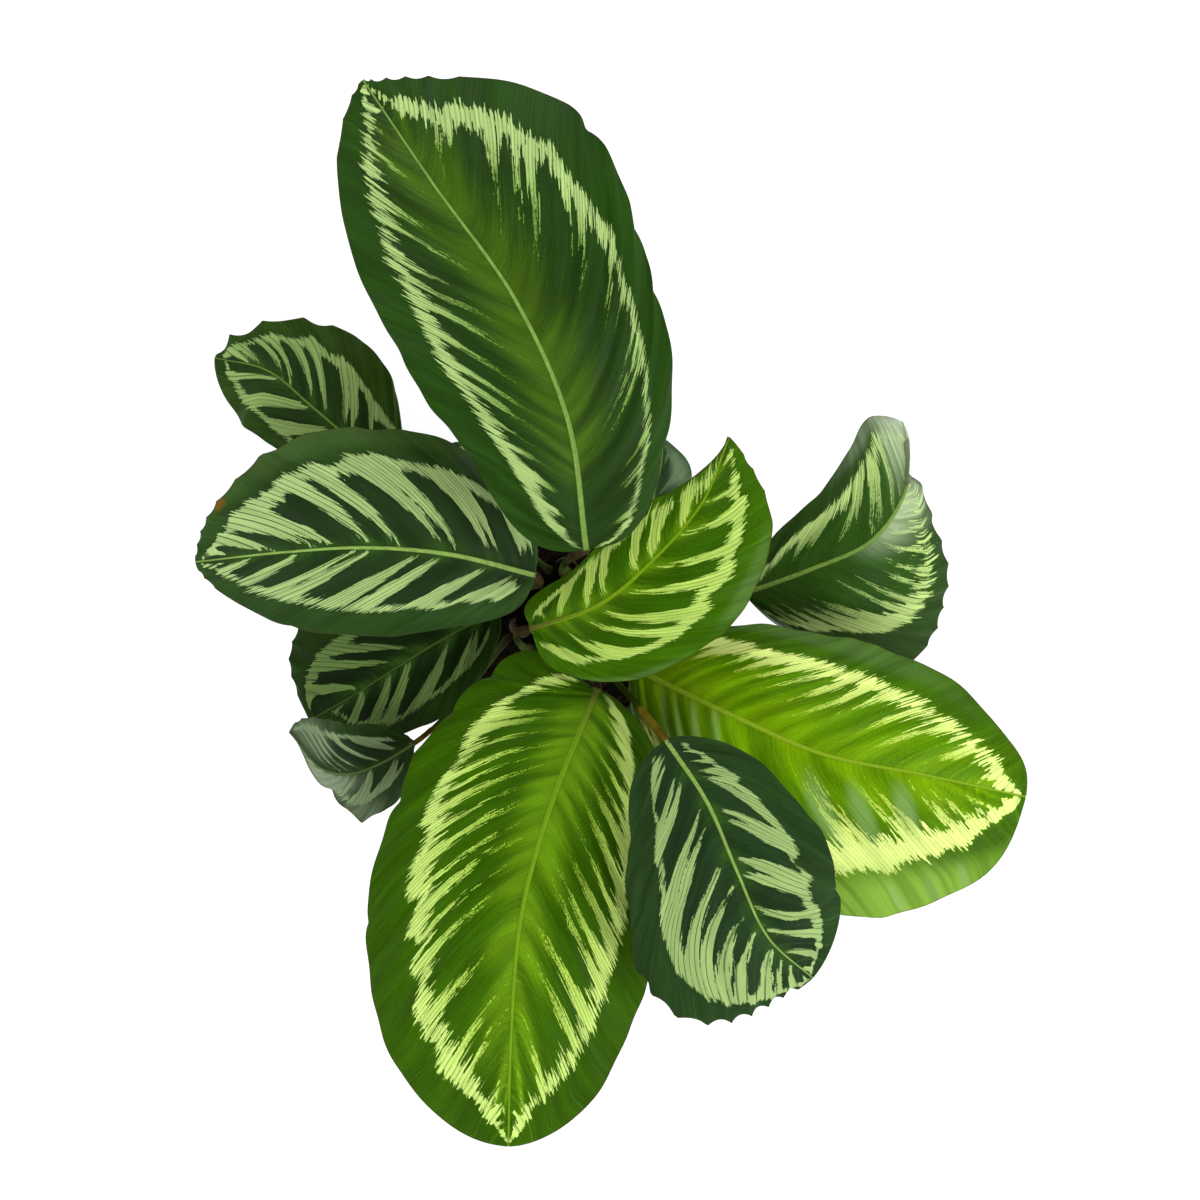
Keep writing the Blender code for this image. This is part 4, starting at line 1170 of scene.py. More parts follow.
# Loose pieces: roundness, shape, how many to a square metre, smallest and largest size in
# millimetres, colour and seed.
# Their colours are darkened past their own as painted shade, as for the compost.
LOOSE = {
    "crumbs": (1, (1, 1, .8), 105000, (1.0, 2.6), (.008, .0055, .004), 11),
    "bark_bits": (2, (1.8, 1, .45), 9500, (1.6, 3.6), (.022, .013, .008), 23),
    "grit": (2, (1, .9, .8), 5000, (.8, 1.9), (.06, .055, .046), 37),
}


def soil_relief(x, y):
    """How far the soil's surface stands above its smooth mound."""
    lumps = noise.fractal(Vector((x, y, 0)) * 0.09, 1.0, 2.2, 5) * 1.1
    return lumps + 0.5 * noise.noise(Vector((x, y, 3)) * 0.4)


def make_soil():
    """A body of compost with an uneven top, and the loose crumbs, bark and grit on it."""
    low, high = (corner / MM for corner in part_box("soil"))
    edge = high.x
    level = high.z - SOIL_MOUND

    def height_at(r):
        return level + SOIL_MOUND * (1 - (r / NECK_RADIUS) ** 2) - SOIL_ROOM

    bottom = BASE_RADIUS - WALL
    profile = [(0, height_at(0))] + [(r, height_at(r)) for r in np.linspace(1, edge - 0.6, 60)]
    profile += [(edge - 0.2, height_at(edge) - 1.0), (bottom, low.z + 4), (bottom - 4, low.z), (0, low.z)]
    points, faces = turned_points(profile, SOIL_SIDES)
    for i, (x, y, z) in enumerate(points):
        if z > level - 6:
            fade = 1 - max(0.0, (math.hypot(x, y) - (edge - 4)) / 4)
            points[i][2] = z + soil_relief(x, y) * max(0.0, fade)
    # The compost's colour is its own dark brown deepened nearly to black as painted shade, for the shade
    # under the leaves.
    soil = mesh_object("compost", points, faces, [compost_finish("compost", (.006, .0045, .003))])
    settle(soil, "soil")

    bed = make_bed(height_at, edge - 2.5)
    scatter = scatter_tree()
    for name, (detail, shape, density, sizes, colour, seed) in LOOSE.items():
        loose = bpy.data.objects.new(name, bed.data.copy())
        bpy.context.scene.collection.objects.link(loose)
        layer = loose.modifiers.new("scatter", "NODES")
        layer.node_group = scatter
        for label, value in (("Density", float(density)), ("Smallest", sizes[0] * MM),
                             ("Largest", sizes[1] * MM), ("Roundness", detail), ("Shape", shape),
                             ("Seed", seed), ("Finish", compost_finish(name, colour))):
            socket = next(s for s in scatter.interface.items_tree if s.name == label)
            layer[socket.identifier] = value
        keep_result(loose)
        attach(loose, "root")
    bpy.data.objects.remove(bed)


def make_bed(height_at, edge):
    """An open copy of the soil's surface, out to `edge`."""
    angles = np.linspace(0, 2 * math.pi, BED_SIDES, endpoint=False)
    rings = [(r, height_at(r)) for r in np.linspace(0, edge, 24)[1:]]
    points = [[0, 0, height_at(0)]]
    for r, z in rings:
        points += [[r * math.cos(a), r * math.sin(a), z + soil_relief(r * math.cos(a), r * math.sin(a))]
                   for a in angles]
    after = [(k + 1) % BED_SIDES for k in range(BED_SIDES)]
    faces = [(0, 1 + k, 1 + after[k]) for k in range(BED_SIDES)]
    for i in range(len(rings) - 1):
        for k in range(BED_SIDES):
            a, b = 1 + i * BED_SIDES + k, 1 + i * BED_SIDES + after[k]
            faces.append((a, a + BED_SIDES, b + BED_SIDES, b))
    return mesh_object("bed", points, faces, [])


def scatter_tree():
    """Geometry nodes that strew rough lumps over a surface, real mesh at the end."""
    tree = bpy.data.node_groups.new("strew", "GeometryNodeTree")
    inputs = (("Geometry", "Geometry"), ("Density", "Float"), ("Smallest", "Float"), ("Largest", "Float"),
              ("Roundness", "Int"), ("Shape", "Vector"), ("Seed", "Int"), ("Finish", "Material"))
    for label, kind in inputs:
        tree.interface.new_socket(label, in_out="INPUT", socket_type=f"NodeSocket{kind}")
    tree.interface.new_socket("Geometry", in_out="OUTPUT", socket_type="NodeSocketGeometry")

    def add(kind, **settings):
        made = tree.nodes.new(kind)
        for key, value in settings.items():
            setattr(made, key, value)
        return made

    given, result = add("NodeGroupInput"), add("NodeGroupOutput")
    points = add("GeometryNodeDistributePointsOnFaces", distribute_method="RANDOM")
    lump = add("GeometryNodeMeshIcoSphere")
    lump.inputs["Radius"].default_value = 0.5
    position, rough = add("GeometryNodeInputPosition"), add("ShaderNodeTexNoise")
    rough.inputs["Scale"].default_value = 2.3
    push = add("ShaderNodeVectorMath", operation="SCALE")
    dent = add("ShaderNodeMath", operation="MULTIPLY_ADD")
    dent.inputs[1].default_value, dent.inputs[2].default_value = 1.5, 0.25
    shaped, form = add("ShaderNodeVectorMath", operation="MULTIPLY"), add("GeometryNodeSetPosition")
    place = add("GeometryNodeInstanceOnPoints")
    turn = add("FunctionNodeRandomValue", data_type="FLOAT_VECTOR")
    turn.inputs[0].default_value, turn.inputs[1].default_value = (0, 0, 0), (6.28, 6.28, 6.28)
    size = add("FunctionNodeRandomValue", data_type="FLOAT")
    real, dress = add("GeometryNodeRealizeInstances"), add("GeometryNodeSetMaterial")
    for source, output, target, socket in (
            (given, "Geometry", points, "Mesh"), (given, "Density", points, "Density"),
            (given, "Seed", points, "Seed"), (given, "Roundness", lump, "Subdivisions"),
            (position, "Position", rough, "Vector"), (rough, "Fac", dent, 0),
            (position, "Position", push, 0), (dent, 0, push, "Scale"), (push, 0, shaped, 0),
            (given, "Shape", shaped, 1), (lump, "Mesh", form, "Geometry"), (shaped, 0, form, "Position"),
            (points, "Points", place, "Points"), (form, "Geometry", place, "Instance"),
            (given, "Seed", turn, "Seed"), (turn, 0, place, "Rotation"), (given, "Smallest", size, 2),
            (given, "Largest", size, 3), (given, "Seed", size, "Seed"), (size, 1, place, "Scale"),
            (place, "Instances", real, "Geometry"), (real, "Geometry", dress, "Geometry"),
            (given, "Finish", dress, "Material"), (dress, "Geometry", result, "Geometry")):
        tree.links.new(source.outputs[output], target.inputs[socket])
    return tree


# ================================================================ finishes
def new_finish(name, roughness, ior=1.45, specular=0.5):
    """An empty finish: its node tree and its shader with the values that are the same all over."""
    finish = bpy.data.materials.new(name)
    finish.use_nodes = True
    tree = finish.node_tree
    shader = tree.nodes["Principled BSDF"]
    shader.inputs["Roughness"].default_value = roughness
    shader.inputs["IOR"].default_value = ior
    shader.inputs["Specular IOR Level"].default_value = specular
    return finish, tree, shader


def feed(tree, node, socket, value):
    """Links a socket's output, or sets a number or colour, on a node's input."""
    target = node.inputs[socket]
    if isinstance(value, bpy.types.NodeSocket):
        tree.links.new(value, target)
    elif target.type == "RGBA" and len(value) == 3:
        target.default_value = (*value, 1.0)
    else:
        target.default_value = value


def sum_up(tree, operation, *values):
    """A sum of numbers or sockets: any of the Math node's operations."""
    node = tree.nodes.new("ShaderNodeMath")
    node.operation = operation
    for i, value in enumerate(values):
        feed(tree, node, i, value)
    return node.outputs[0]


def ramp(tree, value, low, high, to_low=0.0, to_high=1.0):
    """A smooth step of a value from low to high."""
    node = tree.nodes.new("ShaderNodeMapRange")
    node.interpolation_type = "SMOOTHSTEP"
    for socket, number in (("Value", value), ("From Min", low), ("From Max", high), ("To Min", to_low),
                           ("To Max", to_high)):
        feed(tree, node, socket, number)
    return node.outputs["Result"]


def blend_colour(tree, amount, first, second, mode="MIX"):
    """A colour that goes from the first to the second as the amount goes from 0 to 1."""
    node = tree.nodes.new("ShaderNodeMix")
    node.data_type = "RGBA"
    node.blend_type = mode
    feed(tree, node, 0, amount)
    feed(tree, node, 6, first)
    feed(tree, node, 7, second)
    return node.outputs[2]


def surface_map(tree):
    """A piece's own map, which runs along and across its veins or fibres."""
    node = tree.nodes.new("ShaderNodeUVMap")
    node.uv_map = "surface"
    return node.outputs["UV"]


def object_place(tree):
    """Places in space, in metres, for pieces whose patterns don't follow their surface."""
    return tree.nodes.new("ShaderNodeTexCoord").outputs["Object"]


def grain(tree, place, across, along, detail=2.0, rough=0.5, dims="2D", shift=0.0):
    """Noise with features of the given size in millimetres across and along the veins."""
    turn = tree.nodes.new("ShaderNodeMapping")
    feed(tree, turn, "Vector", place)
    turn.inputs["Scale"].default_value = (UV_UNIT / across, UV_UNIT / along, 1.0)
    turn.inputs["Location"].default_value = (shift, shift, 0.0)
    node = tree.nodes.new("ShaderNodeTexNoise")
    node.noise_dimensions = dims
    feed(tree, node, "Vector", turn.outputs[0])
    node.inputs["Scale"].default_value = 1.0
    node.inputs["Detail"].default_value = detail
    node.inputs["Roughness"].default_value = rough
    return node.outputs["Fac"]


def lump_noise(tree, place, feature, detail=3.0):
    """Noise in space with features of the given size in millimetres."""
    node = tree.nodes.new("ShaderNodeTexNoise")
    feed(tree, node, "Vector", place)
    node.inputs["Scale"].default_value = 1.0 / (feature * MM)
    node.inputs["Detail"].default_value = detail
    return node.outputs["Fac"]


def named_value(tree, name):
    """The node that reads one of a mesh's own named numbers or colours."""
    node = tree.nodes.new("ShaderNodeAttribute")
    node.attribute_name = name
    return node


def contour(tree, value, width):
    """Thin lines where a noise crosses its middle."""
    away = sum_up(tree, "ABSOLUTE", sum_up(tree, "SUBTRACT", value, 0.5))
    return ramp(tree, away, width, width * 0.3)


def strips(tree, place, width, along, waver):
    """Noise that changes from one narrow strip between veinlets to the next, `width` apart and
    `along` millimetres long, and how far each place is from the nearest veinlet in millimetres."""
    onward, outward, _ = split_up(tree, place)
    across = sum_up(tree, "MULTIPLY_ADD", onward, UV_UNIT / width, waver)
    strip = sum_up(tree, "FLOOR", across)
    middle = sum_up(tree, "ABSOLUTE", sum_up(tree, "SUBTRACT", sum_up(tree, "FRACT", across), 0.5))
    gap = sum_up(tree, "MULTIPLY_ADD", middle, -width, width / 2)
    point = tree.nodes.new("ShaderNodeCombineXYZ")
    feed(tree, point, "X", sum_up(tree, "MULTIPLY", strip, 3.73))
    feed(tree, point, "Y", sum_up(tree, "MULTIPLY", outward, UV_UNIT / along))
    node = tree.nodes.new("ShaderNodeTexNoise")
    node.noise_dimensions = "2D"
    feed(tree, node, "Vector", point.outputs[0])
    node.inputs["Scale"].default_value = 1.0
    node.inputs["Detail"].default_value = 1.0
    return ramp(tree, node.outputs["Fac"], 0.28, 0.72), gap


def bump(tree, shader, height, distance):
    """Fine relief on a shader, `distance` millimetres deep."""
    node = tree.nodes.new("ShaderNodeBump")
    node.inputs["Strength"].default_value = 1.0
    node.inputs["Distance"].default_value = distance * MM
    feed(tree, node, "Height", height)
    tree.links.new(node.outputs[0], shader.inputs["Normal"])


def add_scaled(tree, total, value, gain):
    """Adds a noise, taken about its middle, to a running total."""
    return sum_up(tree, "MULTIPLY_ADD", sum_up(tree, "SUBTRACT", value, 0.5), gain, total)


def leaf_parts(tree, look, shift):
    """The patterns that a blade's two faces share, by name."""
    place = surface_map(tree)
    waver = sum_up(tree, "MULTIPLY", grain(tree, place, 16.0, 90.0, 1.0, shift=shift), 3.0)
    part = {"place": place}
    part["strand"], _ = strips(tree, place, 0.5, 8.0, waver)
    part["strip"], part["gap"] = strips(tree, place, look["veinlets"][0], 24.0, waver)
    part["strokes"] = grain(tree, place, 1.2, 14.0, 2.0, shift=shift)
    part["dots"] = grain(tree, place, 0.33, 0.75, 1.0, shift=shift + 5)
    zones = named_value(tree, "zones")
    split = tree.nodes.new("ShaderNodeSeparateColor")
    tree.links.new(zones.outputs["Color"], split.inputs[0])
    part["speckle"], part["glow"], part["outside"] = split.outputs
    part["lobe_vein"] = ramp(tree, zones.outputs["Alpha"], 0.04, 0.0)
    hairs, tufts, sweeps = look["feather"]
    depth = named_value(tree, "pale").outputs["Fac"]
    depth = sum_up(tree, "MULTIPLY_ADD", part["speckle"], -2.3, depth)
    ragged = sum_up(tree, "MULTIPLY_ADD", part["speckle"], 3.6, 2 * hairs)
    depth = sum_up(tree, "MULTIPLY_ADD", sum_up(tree, "SUBTRACT", part["strand"], 0.5), ragged, depth)
    depth = add_scaled(tree, depth, part["strip"], 2 * tufts)
    depth = add_scaled(tree, depth, part["strokes"], 4 * sweeps)
    depth = add_scaled(tree, depth, part["dots"], 1.6)
    part["pale"] = ramp(tree, depth, -0.3, 0.3)
    part["rib_depth"] = named_value(tree, "rib").outputs["Fac"]
    part["rib"] = ramp(tree, part["rib_depth"], -0.25, 0.25)
    part["edge"] = ramp(tree, named_value(tree, "inset").outputs["Fac"], 0.4, 0.1)
    lines = ramp(tree, part["gap"], 0.3, 0.1)
    part["veinlets"] = sum_up(tree, "MULTIPLY", lines, ramp(tree, part["strand"], 0.1, 0.6, 0.4, 1.0))
    return part


def split_up(tree, vector):
    """The X, Y and Z outputs of a vector."""
    node = tree.nodes.new("ShaderNodeSeparateXYZ")
    tree.links.new(vector, node.inputs[0])
    return node.outputs


def grey_colour(tree, value):
    """A colour with the same number for red, green and blue."""
    node = tree.nodes.new("ShaderNodeCombineColor")
    for socket in range(3):
        feed(tree, node, socket, value)
    return node.outputs[0]


def leaf_top(name, look):
    """A blade's upper face: dark lobes, pale feathered ring and bars, glow, veins and margin, with painted
    sheen and light from its patches and painted shade in the grooves beside the midrib.
    """
    finish, tree, shader = new_finish(f"{name}_upper", 0.4, specular=look["gloss"])
    shift = float(name_seed(name) % 97)
    part = leaf_parts(tree, look, shift)
    place = part["place"]
    cells = grain(tree, place, 0.3, 0.45, 2.0, shift=shift)
    mottle = grain(tree, place, 9.0, 26.0, 3.0, shift=shift + 9)
    bands = grain(tree, place, 3.2, 80.0, 1.0, shift=shift + 31)

    ground = blend_colour(tree, part["outside"], look["lobe"], look["margin"])
    spread = add_scaled(tree, part["glow"], part["strokes"], 0.35)
    spread = add_scaled(tree, spread, cells, 0.3)
    lit = sum_up(tree, "MULTIPLY", ramp(tree, spread, 0.05, 0.8), ramp(tree, part["glow"], 0.0, 0.15))
    ground = blend_colour(tree, lit, ground, look["glow_colour"])
    lines = sum_up(tree, "MULTIPLY", ramp(tree, bands, 0.2, 0.8, 0.92, 1.09),
                   ramp(tree, part["strand"], 0.2, 0.8, 0.94, 1.06))
    beside_rib = ramp(tree, part["rib_depth"], -16.0, -4.0, 0.0, 0.8)
    missing = sum_up(tree, "MULTIPLY", beside_rib, sum_up(tree, "SUBTRACT", 1.0, lines))
    lines = sum_up(tree, "ADD", lines, missing)
    tone = sum_up(tree, "MULTIPLY", ramp(tree, mottle, 0.25, 0.75, 0.8, 1.2), lines)
    tone = sum_up(tree, "MULTIPLY", tone, ramp(tree, cells, 0.2, 0.8, 0.84, 1.16))
    tone = sum_up(tree, "MULTIPLY", tone, ramp(tree, part["veinlets"], 0.0, 1.0, 1.0, 0.88))
    # A lighter line along each lobe vein: the raised vein's own paler colour, and a painted highlight on
    # its ridge.
    tone = sum_up(tree, "MULTIPLY_ADD", part["lobe_vein"], 0.55, tone)
    ground = blend_colour(tree, 1.0, ground, grey_colour(tree, tone), "MULTIPLY")

    marked = blend_colour(tree, part["speckle"], look["pale"], look["dots"])
    shade = sum_up(tree, "MULTIPLY", ramp(tree, part["strip"], 0.0, 1.0, 0.9, 1.05),
                   ramp(tree, part["strand"], 0.0, 1.0, 0.94, 1.04))
    shade = sum_up(tree, "MULTIPLY", shade, ramp(tree, cells, 0.2, 0.8, 0.92, 1.08))
    marked = blend_colour(tree, 1.0, marked, grey_colour(tree, shade), "MULTIPLY")
    marked = blend_colour(tree, sum_up(tree, "MULTIPLY", part["veinlets"], look["veinlets"][1]), marked,
                          look["lobe"])
    flecks = add_scaled(tree, sum_up(tree, "MULTIPLY", part["speckle"], -0.46), part["dots"], 1.0)
    solid = ramp(tree, flecks, -0.42, -0.34)
    colour = blend_colour(tree, sum_up(tree, "MULTIPLY", part["pale"], solid), ground, marked)

    # Painted light: the patches lay sheen, highlights and sunlit light, with a few dark streaks and a
    # scorch mark, over the blade's colour.
    patches = named_value(tree, "patches")
    streaks = ramp(tree, bands, 0.3, 0.6, 0.65, 1.0)
    # A patch's colour is stored already faded at its edge, so it is added to what it leaves.
    cover = sum_up(tree, "MULTIPLY", patches.outputs["Alpha"], streaks)
    colour = blend_colour(tree, cover, colour, (0, 0, 0))
    colour = blend_colour(tree, streaks, colour, patches.outputs["Color"], "ADD")
    # Painted shade: the shallow grooves beside the midrib are darkened towards the lobe colour.
    groove_shade = sum_up(tree, "MULTIPLY", ramp(tree, part["rib_depth"], -0.7, -0.1), 0.4)
    colour = blend_colour(tree, groove_shade, colour, look["lobe"])
    rib = blend_colour(tree, ramp(tree, bands, 0.35, 0.65, 0.0, 0.3), look["rib"], look["glow_colour"])
    onward, _, _ = split_up(tree, place)
    browned = ramp(tree, onward, 0.25 * look["rib_base"], look["rib_base"], 0.8, 0.0)
    rib = blend_colour(tree, browned, rib, (.1, .085, .022))
    colour = blend_colour(tree, part["rib"], colour, rib)
    colour = blend_colour(tree, sum_up(tree, "MULTIPLY", part["edge"], 0.6), colour, (.05, .03, .01))
    feed(tree, shader, "Base Color", colour)
    feed(tree, shader, "Roughness", ramp(tree, mottle, 0.3, 0.7, 0.34, 0.46))
    relief = sum_up(tree, "MULTIPLY_ADD", part["veinlets"], -0.6, part["strokes"])
    relief = add_scaled(tree, relief, cells, 0.15)
    relief = sum_up(tree, "ADD", relief, part["lobe_vein"])
    bump(tree, shader, relief, 0.12)
    return finish


def leaf_under(name, look):
    """A blade's underside: wine purple, with greener veins and a paler ring showing through, and lighter
    green as painted light under the upper face's patches.
    """
    finish, tree, shader = new_finish(f"{name}_lower", 0.5, specular=0.3)
    shift = float(name_seed(name) % 89)
    part = leaf_parts(tree, look, shift)
    mottle = grain(tree, part["place"], 8.0, 22.0, 3.0, shift=shift)
    ground = blend_colour(tree, ramp(tree, mottle, 0.3, 0.7), (.055, .014, .024), (.09, .03, .034))
    ground = blend_colour(tree, sum_up(tree, "MULTIPLY", part["pale"], 0.4), ground, (.19, .1, .09))
    ground = blend_colour(tree, sum_up(tree, "MULTIPLY", part["lobe_vein"], 0.5), ground, (.2, .13, .08))
    ground = blend_colour(tree, sum_up(tree, "MULTIPLY", part["veinlets"], 0.45), ground, (.2, .13, .08))
    ground = blend_colour(tree, sum_up(tree, "MULTIPLY", part["glow"], 0.35), ground, (.1, .12, .04))
    ground = blend_colour(tree, part["rib"], ground, (.17, .16, .05))
    ground = blend_colour(tree, part["edge"], ground, (.1, .08, .05))
    # Painted light: under the upper face's patches of painted sheen and light, the underside is lightened
    # to green as if lit through.
    thin = sum_up(tree, "MULTIPLY", named_value(tree, "patches").outputs["Alpha"], 0.85)
    ground = blend_colour(tree, thin, ground, (.12, .18, .07))
    feed(tree, shader, "Base Color", ground)
    bump(tree, shader, sum_up(tree, "ADD", part["strokes"], part["veinlets"]), 0.2)
    return finish


# How green the bare part of a stalk is near its top: its own green darkened as painted shade, for the gaps
# among the blades where the stalks stand.
STALK_GREENS = {
    "back_leaf": (.018, .026, .006), "left_leaf": (.014, .022, .006), "front_leaf": (.022, .026, .006),
    "centre_leaf": (.018, .018, .006), "upper_front_leaf": (.011, .024, .002),
}
USUAL_GREEN = (.02, .032, .008)
# These three show their joints' own orange-brown; the rest, deep among the blades, get a darker brown copy
# of it as painted shade.
ORANGE_JOINTS = ("upper_front_leaf", "drooping_leaf", "low_left_leaf")
ORANGE_TONES = ((.06, .04, .005), (.105, .085, .006))
SHADED_JOINT_TONES = ((.02, .014, .006), (.042, .031, .013))


def stalk_finish(name):
    """A stalk: papery sheath at its foot, green above, and an orange-brown joint; the foot, the green near
    the top and most joints are darkened past their own colours as painted shade among the blades.
    """
    finish, tree, shader = new_finish(f"{name}_stalk_skin", 0.6, specular=0.0)
    place = surface_map(tree)
    up = named_value(tree, "up").outputs["Fac"]
    fibres = grain(tree, place, 22.0, 0.45, 3.0, 0.6)
    patches = grain(tree, place, 14.0, 6.0, 3.0)
    wavering = sum_up(tree, "MULTIPLY_ADD", sum_up(tree, "SUBTRACT", fibres, 0.5), 0.16, up)
    low_green = blend_colour(tree, ramp(tree, patches, 0.3, 0.7), (.035, .062, .014), (.055, .09, .022))
    high_green = STALK_GREENS.get(name, USUAL_GREEN)
    green = blend_colour(tree, ramp(tree, wavering, 0.5, 0.78), low_green, high_green)
    foot = blend_colour(tree, ramp(tree, patches, 0.35, 0.65), (.045, .032, .016), (.04, .048, .016))
    colour = blend_colour(tree, ramp(tree, wavering, 0.12, 0.5), foot, green)
    colour = blend_colour(tree, ramp(tree, fibres, 0.3, 0.7, 0.0, 0.35), colour, (.035, .055, .01))
    joint = sum_up(tree, "MULTIPLY", ramp(tree, up, *JOINT_TINT_RISE), ramp(tree, up, *JOINT_TINT_FALL))
    tones = ORANGE_TONES if name in ORANGE_JOINTS else SHADED_JOINT_TONES
    warm = blend_colour(tree, ramp(tree, patches, 0.3, 0.7), *tones)
    colour = blend_colour(tree, joint, colour, warm)
    feed(tree, shader, "Base Color", colour)
    bump(tree, shader, fibres, 0.04)
    return finish


def paper_finish():
    """Dry sheath tissue: buff darkened as painted shade among the stalks, brown at the foot, with long
    fibres and small stains.
    """
    finish, tree, shader = new_finish("dry_sheath", 0.8, specular=0.03)
    place = surface_map(tree)
    up = named_value(tree, "up").outputs["Fac"]
    fibres = grain(tree, place, 18.0, 0.4, 4.0, 0.65)
    stains = grain(tree, place, 7.0, 4.0, 4.0)
    colour = blend_colour(tree, ramp(tree, fibres, 0.3, 0.7), (.05, .036, .023), (.12, .092, .06))
    colour = blend_colour(tree, ramp(tree, stains, 0.58, 0.72, 0.0, 0.8), colour, (.014, .009, .005))
    colour = blend_colour(tree, ramp(tree, up, 0.35, 0.0, 0.0, 0.7), colour, (.014, .009, .005))
    feed(tree, shader, "Base Color", colour)
    bump(tree, shader, fibres, 0.3)
    return finish


def rootstock_finish():
    """The crown's brown bark with paler fibres."""
    finish, tree, shader = new_finish("rootstock_bark", 0.85, specular=0.05)
    place = object_place(tree)
    knots = lump_noise(tree, place, 4.0, 5.0)
    fibres = lump_noise(tree, place, 0.8, 3.0)
    colour = blend_colour(tree, ramp(tree, knots, 0.35, 0.65), (.06, .034, .018), (.2, .125, .065))
    colour = blend_colour(tree, ramp(tree, fibres, 0.45, 0.7, 0.0, 0.5), colour, (.28, .2, .12))
    feed(tree, shader, "Base Color", colour)
    bump(tree, shader, sum_up(tree, "ADD", knots, fibres), 0.6)
    return finish


def compost_finish(name, colour):
    """Damp compost, bark or grit, each lump a little different, from a colour that is darkened as painted
    shade.
    """
    finish, tree, shader = new_finish(f"{name}_surface", 0.9, specular=0.06)
    place = object_place(tree)
    patches = lump_noise(tree, place, 5.0, 4.0)
    specks = lump_noise(tree, place, 0.7, 3.0)
    dark = tuple(c * 0.4 for c in colour)
    light = tuple(min(c * 1.6, 0.8) for c in colour)
    shade = blend_colour(tree, ramp(tree, patches, 0.3, 0.7), dark, light)
    shade = blend_colour(tree, ramp(tree, specks, 0.55, 0.7, 0.0, 0.5), shade, colour)
    feed(tree, shader, "Base Color", shade)
    feed(tree, shader, "Roughness", ramp(tree, patches, 0.35, 0.65, 0.7, 0.95))
    bump(tree, shader, specks, 0.5)
    return finish


def pot_finish():
    """Dark moulded plastic: fine grain, thin scratches, water marks, and dust low and at the rim."""
    finish, tree, shader = new_finish("dark_plastic", 0.45, specular=0.5)
    place = object_place(tree)
    height = split_up(tree, place)["Z"]
    pebble = lump_noise(tree, place, 0.5, 2.0)
    clouds = lump_noise(tree, place, 16.0, 5.0)
    flow = tree.nodes.new("ShaderNodeMapping")
    feed(tree, flow, "Vector", place)
    flow.inputs["Scale"].default_value = (1.0, 1.0, 0.08)
    streaks = lump_noise(tree, flow.outputs[0], 6.0, 4.0)
    scratches = contour(tree, lump_noise(tree, flow.outputs[0], 7.0, 2.0), 0.006)
    colour = blend_colour(tree, ramp(tree, clouds, 0.3, 0.7), (.028, .029, .031), (.045, .046, .048))
    low_down = ramp(tree, height, 0.03, 0.0)
    washed = sum_up(tree, "MULTIPLY_ADD", low_down, 0.15, streaks)
    dusty = sum_up(tree, "MULTIPLY", ramp(tree, washed, 0.5, 0.8), 0.16)
    colour = blend_colour(tree, dusty, colour, (.13, .1, .075))
    top = sum_up(tree, "MULTIPLY", ramp(tree, height, 0.1, 0.126),
                 ramp(tree, clouds, 0.45, 0.65, 0.0, 0.35))
    colour = blend_colour(tree, top, colour, (.08, .07, .06))
    colour = blend_colour(tree, sum_up(tree, "MULTIPLY", scratches, 0.12), colour, (.12, .12, .12))
    feed(tree, shader, "Base Color", colour)
    rough = sum_up(tree, "MULTIPLY_ADD", dusty, 0.6, ramp(tree, clouds, 0.3, 0.7, 0.38, 0.5))
    feed(tree, shader, "Roughness", rough)
    bump(tree, shader, sum_up(tree, "MULTIPLY_ADD", scratches, -0.4, pebble), 0.08)
    return finish


# ================================================================ stage
CAMERA_PLACE = (0.029, 0.006, 2.0)
CAMERA_LENS = 113.3
FLOOR_REACH = 6.0          # metres from the middle to each side


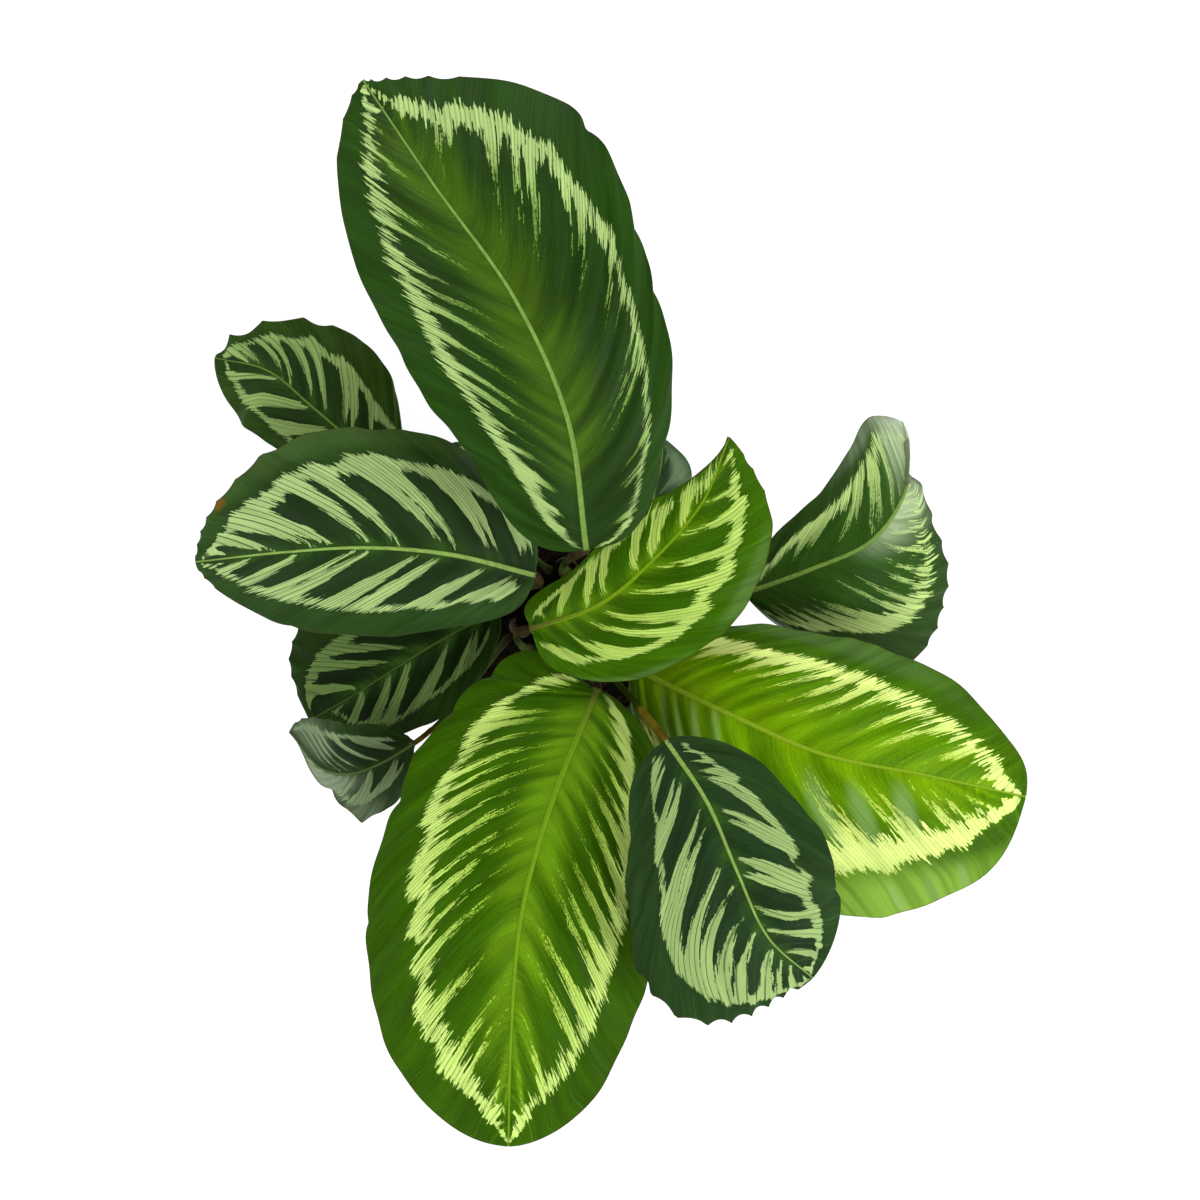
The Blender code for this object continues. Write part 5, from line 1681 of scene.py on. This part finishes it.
def make_floor():
    """A broad white floor that glows a little, so that it shows no edge."""
    mesh = bpy.data.meshes.new("floor")
    corners = ((-1, -1), (1, -1), (1, 1), (-1, 1))
    mesh.from_pydata([(x * FLOOR_REACH, y * FLOOR_REACH, 0) for x, y in corners], [], [(0, 1, 2, 3)])
    floor = bpy.data.objects.new("floor", mesh)
    finish, _, shader = new_finish("pale_floor", 0.9, specular=0.1)
    shader.inputs["Base Color"].default_value = (0.9, 0.9, 0.9, 1.0)
    shader.inputs["Emission Color"].default_value = (1.0, 1.0, 1.0, 1.0)
    shader.inputs["Emission Strength"].default_value = 0.22
    mesh.materials.append(finish)
    bpy.context.scene.collection.objects.link(floor)


def make_light(name, place, target, size, power):
    """A square lamp `size` metres wide that faces the target, with its power in watts."""
    data = bpy.data.lights.new(name, "AREA")
    data.size = size
    data.energy = power
    lamp = bpy.data.objects.new(name, data)
    lamp.location = place
    lamp.rotation_euler = (Vector(target) - Vector(place)).to_track_quat("-Z", "Y").to_euler()
    bpy.context.scene.collection.objects.link(lamp)


def make_studio():
    """Soft light: a room bright at eye level and dimmer overhead, and three broad lamps."""
    scene = bpy.context.scene
    world = bpy.data.worlds.new("studio")
    scene.world = world
    world.use_nodes = True
    tree = world.node_tree
    sky = tree.nodes["Background"]
    place = tree.nodes.new("ShaderNodeTexCoord").outputs["Generated"]
    feed(tree, sky, "Strength", ramp(tree, split_up(tree, place)["Z"], 0.2, 0.95, 1.3, 0.15))
    sky.inputs["Color"].default_value = (1.0, 1.0, 1.0, 1.0)
    middle = (0.03, 0.0, 0.25)
    make_light("key", (1.5, -1.1, 1.5), middle, 1.2, 30)
    make_light("fill", (-1.6, -0.5, 1.4), middle, 1.4, 14)
    make_light("back", (0.2, 1.8, 1.6), middle, 1.2, 18)
    scene.view_settings.view_transform = "Standard"
    camera = bpy.data.cameras.new("camera")
    camera.lens = CAMERA_LENS
    camera.sensor_width = 36.0
    eye = bpy.data.objects.new("camera", camera)
    eye.location = CAMERA_PLACE
    scene.collection.objects.link(eye)
    scene.camera = eye


def main():
    """The stage, then every piece of the plant, the pot and the soil."""
    make_studio()
    make_floor()
    for name in LEAVES:
        make_blade(name)
        make_stalk(name)
    paper = paper_finish()
    for name in SCALES:
        make_dry_scale(name, paper)
    make_crown()
    make_pot()
    make_soil()


main()
